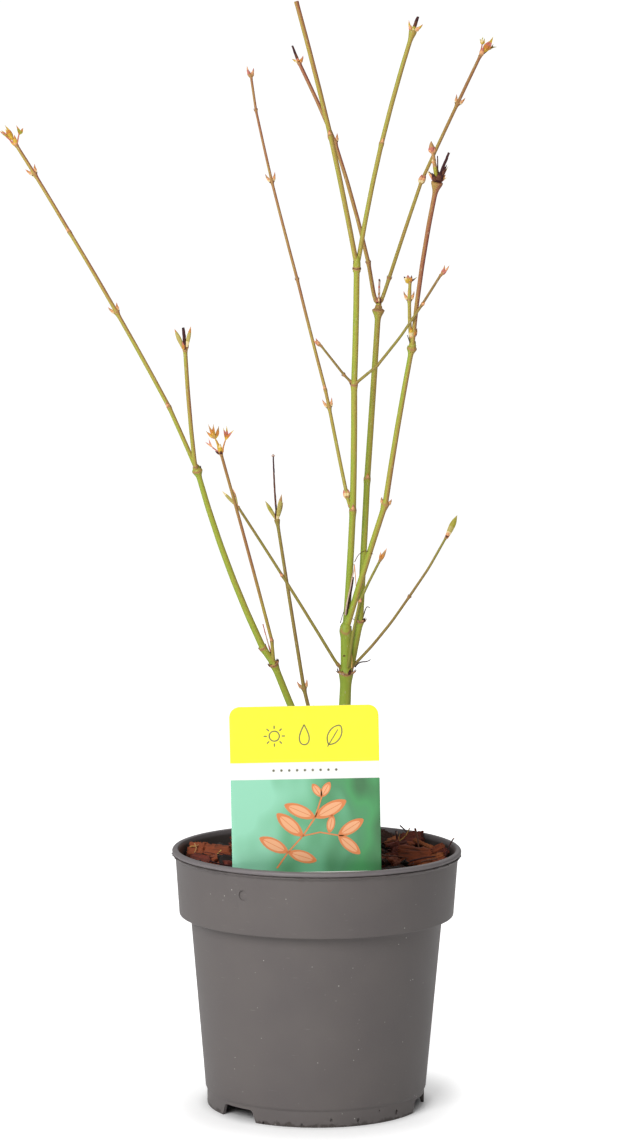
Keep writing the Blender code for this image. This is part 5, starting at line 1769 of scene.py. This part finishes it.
def grow(shoot: Shoot, grown: dict[str, Course]) -> Course:
    """Work out a shoot's course from its parent's.

    Args:
        shoot: the shoot.
        grown: the courses so far, by name.

    Returns:
        Its course.
    """
    start = grown[shoot.parent].at_node(shoot.node) if shoot.parent else np.array(FOOT)
    aside = np.array([math.tan(math.radians(lean)) for lean in shoot.lean])
    heel_way = unit(np.array((*unit(aside), 0.9)))
    points = [start]
    here = start + heel_way * shoot.heel
    if shoot.heel > 0:
        points.append(here)
    nodes = [len(points) - 1]
    whole = sum(length for length, _ in shoot.internodes)
    done, turned_by = 0.0, 0.0
    for length, turn in shoot.internodes:
        turned_by += turn
        steps = max(1, math.ceil(length / STEP))
        for _ in range(steps):
            share = (done + length / steps / 2) / whole
            here = here + heading((shoot.lean[0] + shoot.sweep[0] * share + turned_by,
                                   shoot.lean[1] + shoot.sweep[1] * share)) * length / steps
            done += length / steps
            points.append(here)
        nodes.append(len(points) - 1)
    return Course(np.array(points), nodes, shoot.across)


# ---- shrub: how it is built ----
@dataclass(frozen=True)
class Limb:
    """One packed limb: the shoots in it, how round its wood is, and its finish.

    A crown of several shoots sits in a low dome on its bough: how wide and tall it is in the
    bough's radii, how ripe, and how corky.
    """

    shoots: tuple[str, ...]
    sides: int
    bark: Finish
    dome: tuple[float, float, float, float] = (1.0, 1.0, 0.4, 0.0)


LIMBS: dict[str, Limb] = {
    "trunk": Limb(("trunk",), 32, STEM),
    **{"bough_" + name: Limb((name,), 24, STEM) for name in ("leader", "right", "back", "left")},
    "crown_leader": Limb(("leader_left", "leader_right"), 16, TWIG, (1.3, 4.4, 0.36, 0.0)),
    "crown_back": Limb(("back_left", "back_right"), 16, TWIG, (1.35, 2.0, 0.6, 0.35)),
    "crown_right": Limb(("right_tall", "right_spur"), 16, TWIG, (1.4, 3.6, 0.38, 0.08)),
    "crown_left": Limb(("left_far", "left_spur"), 16, TWIG, (1.5, 2.6, 0.38, 0.05)),
    "twig_left_front": Limb(("left_front",), 16, TWIG),
    **{"twig_" + name: Limb((name,), 16, THIN_TWIG)
       for name in ("low_back", "fork_front", "fork_left", "fork_right", "mid_right", "mid_left")},
    "twig_tall_left": Limb(("tall_left",), 16, TWIG),
}


@dataclass
class Shrub:
    """The young maple: trunk, boughs and twigs, with their nodes, buds, leaves and dead ends."""

    spacing: float = 1.2
    ripe_shaded_side: float = -0.35            # the side that ripens first and is painted darker as the shaded side, in radians round from +X
    grown: dict[str, Course] = field(default_factory=dict)

    def rings_at(self, course: Course) -> Array:
        """Space out a shoot's rings: even, and close about its nodes.

        Args:
            course: the shoot's course.

        Returns:
            The run of each ring.
        """
        close = np.array((-2.6, -2.0, -1.5, -1.1, -0.8, -0.55, -0.35, -0.18, 0.0, 0.18, 0.35, 0.55,
                          0.8, 1.1, 1.5, 2.0))
        even = np.arange(0, course.run[-1], self.spacing)
        clear = np.array([min(abs(s - n) for n in course.node_runs) > 2.4 for s in even])
        runs = np.concatenate((even[clear], *(n + close for n in course.node_runs),
                               [0.0, course.run[-1]]))
        runs = np.unique(np.clip(runs, 0, course.run[-1]))
        return runs[np.concatenate(([True], np.diff(runs) > 0.05))]

    def wood(self, draft: Draft, name: str, limb: Limb) -> None:
        """Add a shoot's wood: swollen ringed nodes, relief, and marks for its bark.

        Args:
            draft: what it is added to.
            name: the shoot's name.
            limb: the limb it is part of.
        """
        draw = random.Random(name)
        course, shoot = self.grown[name], SHOOTS[name]
        runs = self.rings_at(course)
        angle = turns(limb.sides)
        s, a = runs[:, None], angle[None, :]
        base = course.radius(runs)[:, None]
        low, fine = ripple(draw, (1, 2, 3), 16.0), ripple(draw, (5, 7, 11), 5.0)
        swell = 1 + 0.022 * low(a, s) + 0.010 * fine(a, s)
        ridge, cork = np.zeros_like(swell), np.zeros_like(swell)
        kinds = list(zip(course.node_runs[1:], shoot.kinds))
        if shoot.parent and shoot.heel > 0:
            kinds.append((course.node_runs[0], Node.RING))
        for at, kind in kinds:
            knot, radius = kind.value, float(course.radius(np.array([at]))[0])
            at = at - knot.drop
            turned = 2 * (a - math.radians(knot.turn))
            reach = np.where(s < at, knot.under, knot.over) * radius + 0.25
            near = np.exp(-((s - at) / reach) ** 2)
            swell += knot.swell * near * (1 + knot.lean * np.cos(turned))
            wave = at + knot.dip * np.cos(turned) + 0.08 * fine(a, s * 0)
            for offset in (-0.42, 0.4):
                ridge += knot.ridge * np.exp(-((s - wave - offset) / 0.2) ** 2)
            cork = np.maximum(cork, knot.cork * np.exp(-((s - wave) / (0.4 + radius * 0.16)) ** 2))
        if not shoot.parent:
            flare, fall = FLARE
            lobes = 1 + 0.16 * np.sin(3 * a + 0.6) + 0.1 * np.sin(5 * a + 2)
            ridge += (flare - base) * np.exp(-s / fall) * lobes
            cork = np.maximum(cork, 0.55 * np.exp(-s / 4.5))
        radii = base * swell + ridge
        side_ripeness_and_shade, *ripe_at = shoot.ripe
        # riper towards the side away from the key light: partly real ripening, partly painted shade
        sun = np.clip(np.cos(a - self.ripe_shaded_side), -0.12, 1)
        ripe = np.interp(runs / runs[-1], (0, 0.5, 1), ripe_at)[:, None] + side_ripeness_and_shade * sun
        rings = ring_points(course.at(runs), radii, limb.sides)
        if len(limb.shoots) > 1:
            # its foot reaches down into the rim of its bough
            reach = 1.2 + SHOOTS[shoot.parent].kinds[-1].value.drop
            bough = self.grown[shoot.parent]
            out = course.way(1.5) * (1, 1, 0) - bough.way(bough.run[-1]) * (1, 1, 0)
            foot = course.line[0] - bough.way(bough.run[-1]) * reach + unit(out) * 0.7
            rings[0] = foot + (rings[0] - rings[0].mean(axis=0)) * 1.05
        # the shoot ends in a low dome, above its last node
        top, dome = rings[-1], shoot.kinds[-1].value.dome * float(radii[-1].mean())
        rise = course.way(runs[-1]) * dome
        for height, share in ((0.3, 0.93), (0.6, 0.75), (0.85, 0.45), (0.96, 0.2)):
            ring = top.mean(axis=0) + (top - top.mean(axis=0)) * share + rise * height
            rings = np.concatenate((rings, ring[None]))
            ripe, cork, radii = (np.concatenate((rows, rows[-1:])) for rows in (ripe, cork, radii))
            cork[-1] *= 0.45
            s = np.concatenate((s, s[-1:] + 0.3))
        shift = draw.uniform(0, 90)
        grain = np.stack((radii * np.cos(a) + shift, radii * np.sin(a) + shift,
                          np.broadcast_to(s, radii.shape)), -1)
        draft.loft(rings, limb.bark, ripeness=ripe, cork=cork, grain=grain)

    def collar(self, draft: Draft, limb: Limb) -> None:
        """Add the low dome in which the twigs of a crown are joined, on the end of their bough.

        Args:
            draft: what it is added to.
            limb: the crown.
        """
        parent = self.grown[SHOOTS[limb.shoots[0]].parent]
        way, radius = parent.way(parent.run[-1] - 2), parent.across[1] / 2
        wide, tall, ripeness, cork = limb.dome
        drop = SHOOTS[SHOOTS[limb.shoots[0]].parent].kinds[-1].value.drop
        share = np.array((0.02, 0.2, 0.45, 0.72, 0.9, 1.0)) * tall * radius
        across = np.array((0.95, 1.0, 0.97, 0.85, 0.6, 0.25)) * wide * radius
        rings = ring_points(parent.line[-1] + way * (share[:, None] - drop), across, 16)
        ripe = np.full(rings.shape[:2], ripeness)
        draft.loft(rings, limb.bark, ripeness=ripe, cork=np.full(ripe.shape, cork),
                   grain=rings - rings[0, 0])

    def node_buds(self, buds: Draft, name: str) -> None:
        """Set a pair of buds, or torn bracts, at each inner node.

        Args:
            buds: what they are added to.
            name: the shoot's name.
        """
        draw = random.Random(name + "_buds")
        course, shoot = self.grown[name], SHOOTS[name]
        for at, kind in zip(course.node_runs[1:-1], shoot.kinds[:-1]):
            here, way = course.at(np.array([at]))[0], course.way(at)
            radius = float(course.radius(np.array([at]))[0])
            side, across = square_to(way)
            turn = math.radians(kind.value.turn)
            out = side * math.cos(turn) + across * math.sin(turn)
            for sign in (-1, 1):
                foot = here + out * sign * radius * 0.95 - way * 0.2
                if kind is Node.RING:
                    lobe(buds, foot, unit(way + out * sign * 0.5), out * sign,
                         (1.0 + radius * 0.5, 0.8 + radius * 0.4, 0.3), -0.2, (TAN, UMBER))
                elif kind is Node.TORN:
                    for offset in (-2.4, -0.9, -0.3, 0.4, 1.2):
                        aim = unit(out * sign + np.cross(way, out) * offset)
                        lobe(buds, here + aim * radius * 1.28 - way * 0.4,
                             unit(way + aim * draw.uniform(0.25, 0.9)), aim,
                             (1.3 + radius * draw.uniform(0.3, 1.0), 0.9 + radius * 0.3, 0.3),
                             draw.uniform(-0.2, 0.3),
                             draw.choice(((TAN, PEACH, DEAD), (UMBER, DEAD), (PALE, TAN, UMBER))))
                elif kind is Node.SHEATH:
                    for offset in (-1.6, 0.0, 1.6):
                        aim = unit(out * sign + np.cross(way, out) * offset)
                        flame(buds, here + aim * radius * 0.95 - way * 1.3,
                              unit(way + aim * 0.06), draw.uniform(3.0, 4.4), 1.1 + radius * 0.4,
                              aim * 0.1, draw.choice(((TAN, CREAM, PEACH), (CREAM, PEACH, PINK))), 0.3, 0.6)
                elif kind is Node.FRONT:
                    bud(buds, foot, unit(way + out * sign * 0.14), 2.0 + radius * 0.7, 1.1 + radius * 0.35,
                        (TAN, PEACH, draw.choice((PINK, PEACH, ORANGE))))
                elif kind is Node.PAIR:
                    tints = (CREAM, PEACH, draw.choice((TAN, PEACH, ORANGE)), PINK)
                    bud(buds, foot, unit(way + out * sign * draw.uniform(0.3, 0.46)),
                        max(3.0, 6.4 - 2.5 * radius), 0.85 + radius * 0.45, tints)
                    lobe(buds, foot - way * 0.5, unit(way * 0.6 + out * sign), way,
                         (1.0, 1.0 + radius * 0.4, 0.4), 0.2, (UMBER,))

    def tips(self, buds: Draft, leaves: Draft, stubs: Draft, name: str) -> None:
        """Set what stands on a shoot's last node, and at its foot.

        Args:
            buds: where buds and scales go.
            leaves: where leaves go.
            stubs: where dead ends go.
            name: the shoot's name.
        """
        draw = random.Random(name + "_tips")
        course = self.grown[name]
        stands = [(course.line[-1], course.across[1], tip) for tip in TIPS.get(name, ())]
        stands += [(course.line[0], course.across[0], tip) for tip in FEET.get(name, ())]
        for node, across, tip in stands:
            way = heading(tip.lean)
            foot = node + way * tip.start
            length, width = tip.size
            if tip.start == 0:
                foot = foot + unit(np.array((way[0], way[1], 0.0))) * across * 0.22 - way * 0.3
            if tip.kind is Growth.BUD:
                bud(buds, foot, way, length, width, tip.tints)
            elif tip.kind is Growth.SCALE:
                flame(buds, foot, way, length, width, way * 0.0, tip.tints, 0.3, 0.7)
            elif tip.kind is Growth.LANCE:
                flame(leaves, foot, way, length, width, way * 0.0, tip.tints, 0.56, 0.5)
            elif tip.kind is Growth.LEAF:
                leaf(leaves, foot, way, tip, draw)
            else:
                dead_end(stubs, node + way * tip.start, way, length, width, tip.tints, draw)
                if tip.bud:
                    last = stubs.points[-1][-9:].mean(axis=0)
                    bud(buds, last - way * 0.6, way, tip.bud, max(1.2, width * 1.5),
                        (PEACH, PINK, TAN, TAN) if tip.bud > 2 else (PALE, PALE))

    def limb(self, name: str, limb: Limb) -> None:
        """Build one limb: its wood, and its buds, leaves and dead ends, each kind apart.

        Args:
            name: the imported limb's name.
            limb: its shoots, sides and finish.
        """
        wood, buds, leaves, stubs = Draft(), Draft(), Draft(), Draft()
        for shoot in limb.shoots:
            self.wood(wood, shoot, limb)
            self.node_buds(buds, shoot)
            self.tips(buds, leaves, stubs, shoot)
        if len(limb.shoots) > 1:
            self.collar(wood, limb)
        for owner, points, radius, tint in CAUGHT:
            if owner == name:
                strand(stubs, points, radius, tint.value, 0.55)
        slot = Slot.STEM if limb.bark is STEM else Slot.TWIG
        for kind, draft in (("wood", wood), ("buds", buds), ("leaves", leaves), ("dead_ends", stubs)):
            if draft.count:
                draft.piece(f"{name}_{kind}", slot, name, smooth=60)

    def build(self) -> None:
        """Grow every shoot from its parent, then build the limbs."""
        for name, shoot in SHOOTS.items():
            self.grown[name] = grow(shoot, self.grown)
        for name, limb in LIMBS.items():
            self.limb(name, limb)


# ---- studio ----
@dataclass
class Studio:
    """A white product studio: lit sheet, bright backdrop, broad soft lights, and the camera."""

    eye: Triple = (0.0, -1.486, 0.3732)         # metres
    pitch: float = 0.09                         # radians that the camera looks down
    roll: float = 0.0045
    sensor: float = 36.0
    view: float = 3346 / 1148                   # focal length over the picture's height
    ambient: str = "#6C6C6C"
    # name: place, aim, width and height in metres, watts
    lamps: dict[str, tuple[Triple, Triple, Pair, float]] = field(default_factory=lambda: {
        "key_softbox": ((-0.8, -1.6, 1.25), (0.0, 0.0, 0.22), (1.1, 1.1), 37.0),
        "side_softbox": ((-1.7, -0.2, 0.6), (0.0, 0.0, 0.2), (0.5, 1.2), 1.9),
        "back_softbox": ((0.6, 1.5, 1.5), (0.0, 0.0, 0.2), (1.3, 0.9), 5.0),
    })

    def world(self) -> None:
        """Make the backdrop white to the eye, pale grey in gloss, and a darker grey as light."""
        world = bpy.data.worlds.new("studio_backdrop")
        bpy.context.scene.world = world
        world.use_nodes = True
        tree = world.node_tree
        tree.nodes.clear()
        soft = add_node(tree, "Background", {"Color": linear(self.ambient), "Strength": 1.0})
        white = add_node(tree, "Background", {"Color": linear("#FFFFFF"), "Strength": 1.05})
        rays = add_node(tree, "LightPath").outputs
        gloss = add_node(tree, "Math", (rays["Is Glossy Ray"], 0.3), operation="MULTIPLY")
        seen = add_node(tree, "Math", (rays["Is Camera Ray"], gloss), operation="MAXIMUM")
        mix = add_node(tree, "MixShader", (seen, soft, white))
        end = add_node(tree, "OutputWorld", (mix,))
        end.is_active_output = True

    def floor(self) -> None:
        """Lay the lit sheet that the pot stands on."""
        form = bmesh.new()
        bmesh.ops.create_circle(form, cap_ends=True, radius=4.0, segments=96)
        mesh = bpy.data.meshes.new("studio_floor")
        form.to_mesh(mesh)
        form.free()
        mesh.materials.append(LightTable("acrylic_opal", "#F2F2F2", 0.6).material())
        floor = bpy.data.objects.new("studio_floor", mesh)
        bpy.context.collection.objects.link(floor)

    def light(self) -> None:
        """Hang the soft lights."""
        for name, (spot, aim, size, watts) in self.lamps.items():
            lamp = bpy.data.lights.new(name, "AREA")
            lamp.shape = "RECTANGLE"
            lamp.size, lamp.size_y = size
            lamp.energy = watts
            hung = bpy.data.objects.new(name, lamp)
            way = Vector(aim) - Vector(spot)
            hung.matrix_world = Matrix.Translation(spot) @ way.to_track_quat("-Z", "Y").to_matrix().to_4x4()
            bpy.context.collection.objects.link(hung)

    def camera(self) -> None:
        """Set the camera at eye height in front of the pot, looking a little down."""
        lens = bpy.data.cameras.new("studio_camera")
        lens.sensor_fit = "AUTO"
        lens.sensor_width = self.sensor
        lens.lens = self.sensor * self.view
        lens.clip_end = 50.0
        camera = bpy.data.objects.new("studio_camera", lens)
        camera.matrix_world = (Matrix.Translation(self.eye)
                               @ Matrix.Rotation(math.pi / 2 - self.pitch, 4, "X")
                               @ Matrix.Rotation(self.roll, 4, "Z"))
        bpy.context.collection.objects.link(camera)
        bpy.context.scene.camera = camera

    def build(self) -> None:
        """Set up the whole studio."""
        bpy.context.scene.view_settings.view_transform = "Standard"
        self.world()
        self.floor()
        self.light()
        self.camera()


def main() -> None:
    """Load the frame, and build the pot and its plant in order."""
    logging.basicConfig(level=logging.INFO, format="%(message)s")
    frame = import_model()
    Studio().build()
    NurseryPot().build()
    dress_medium(frame["nodes"])
    BarkMulch().build()
    PlantLabel().build()
    Shrub().build()


if __name__ == "__main__":
    main()
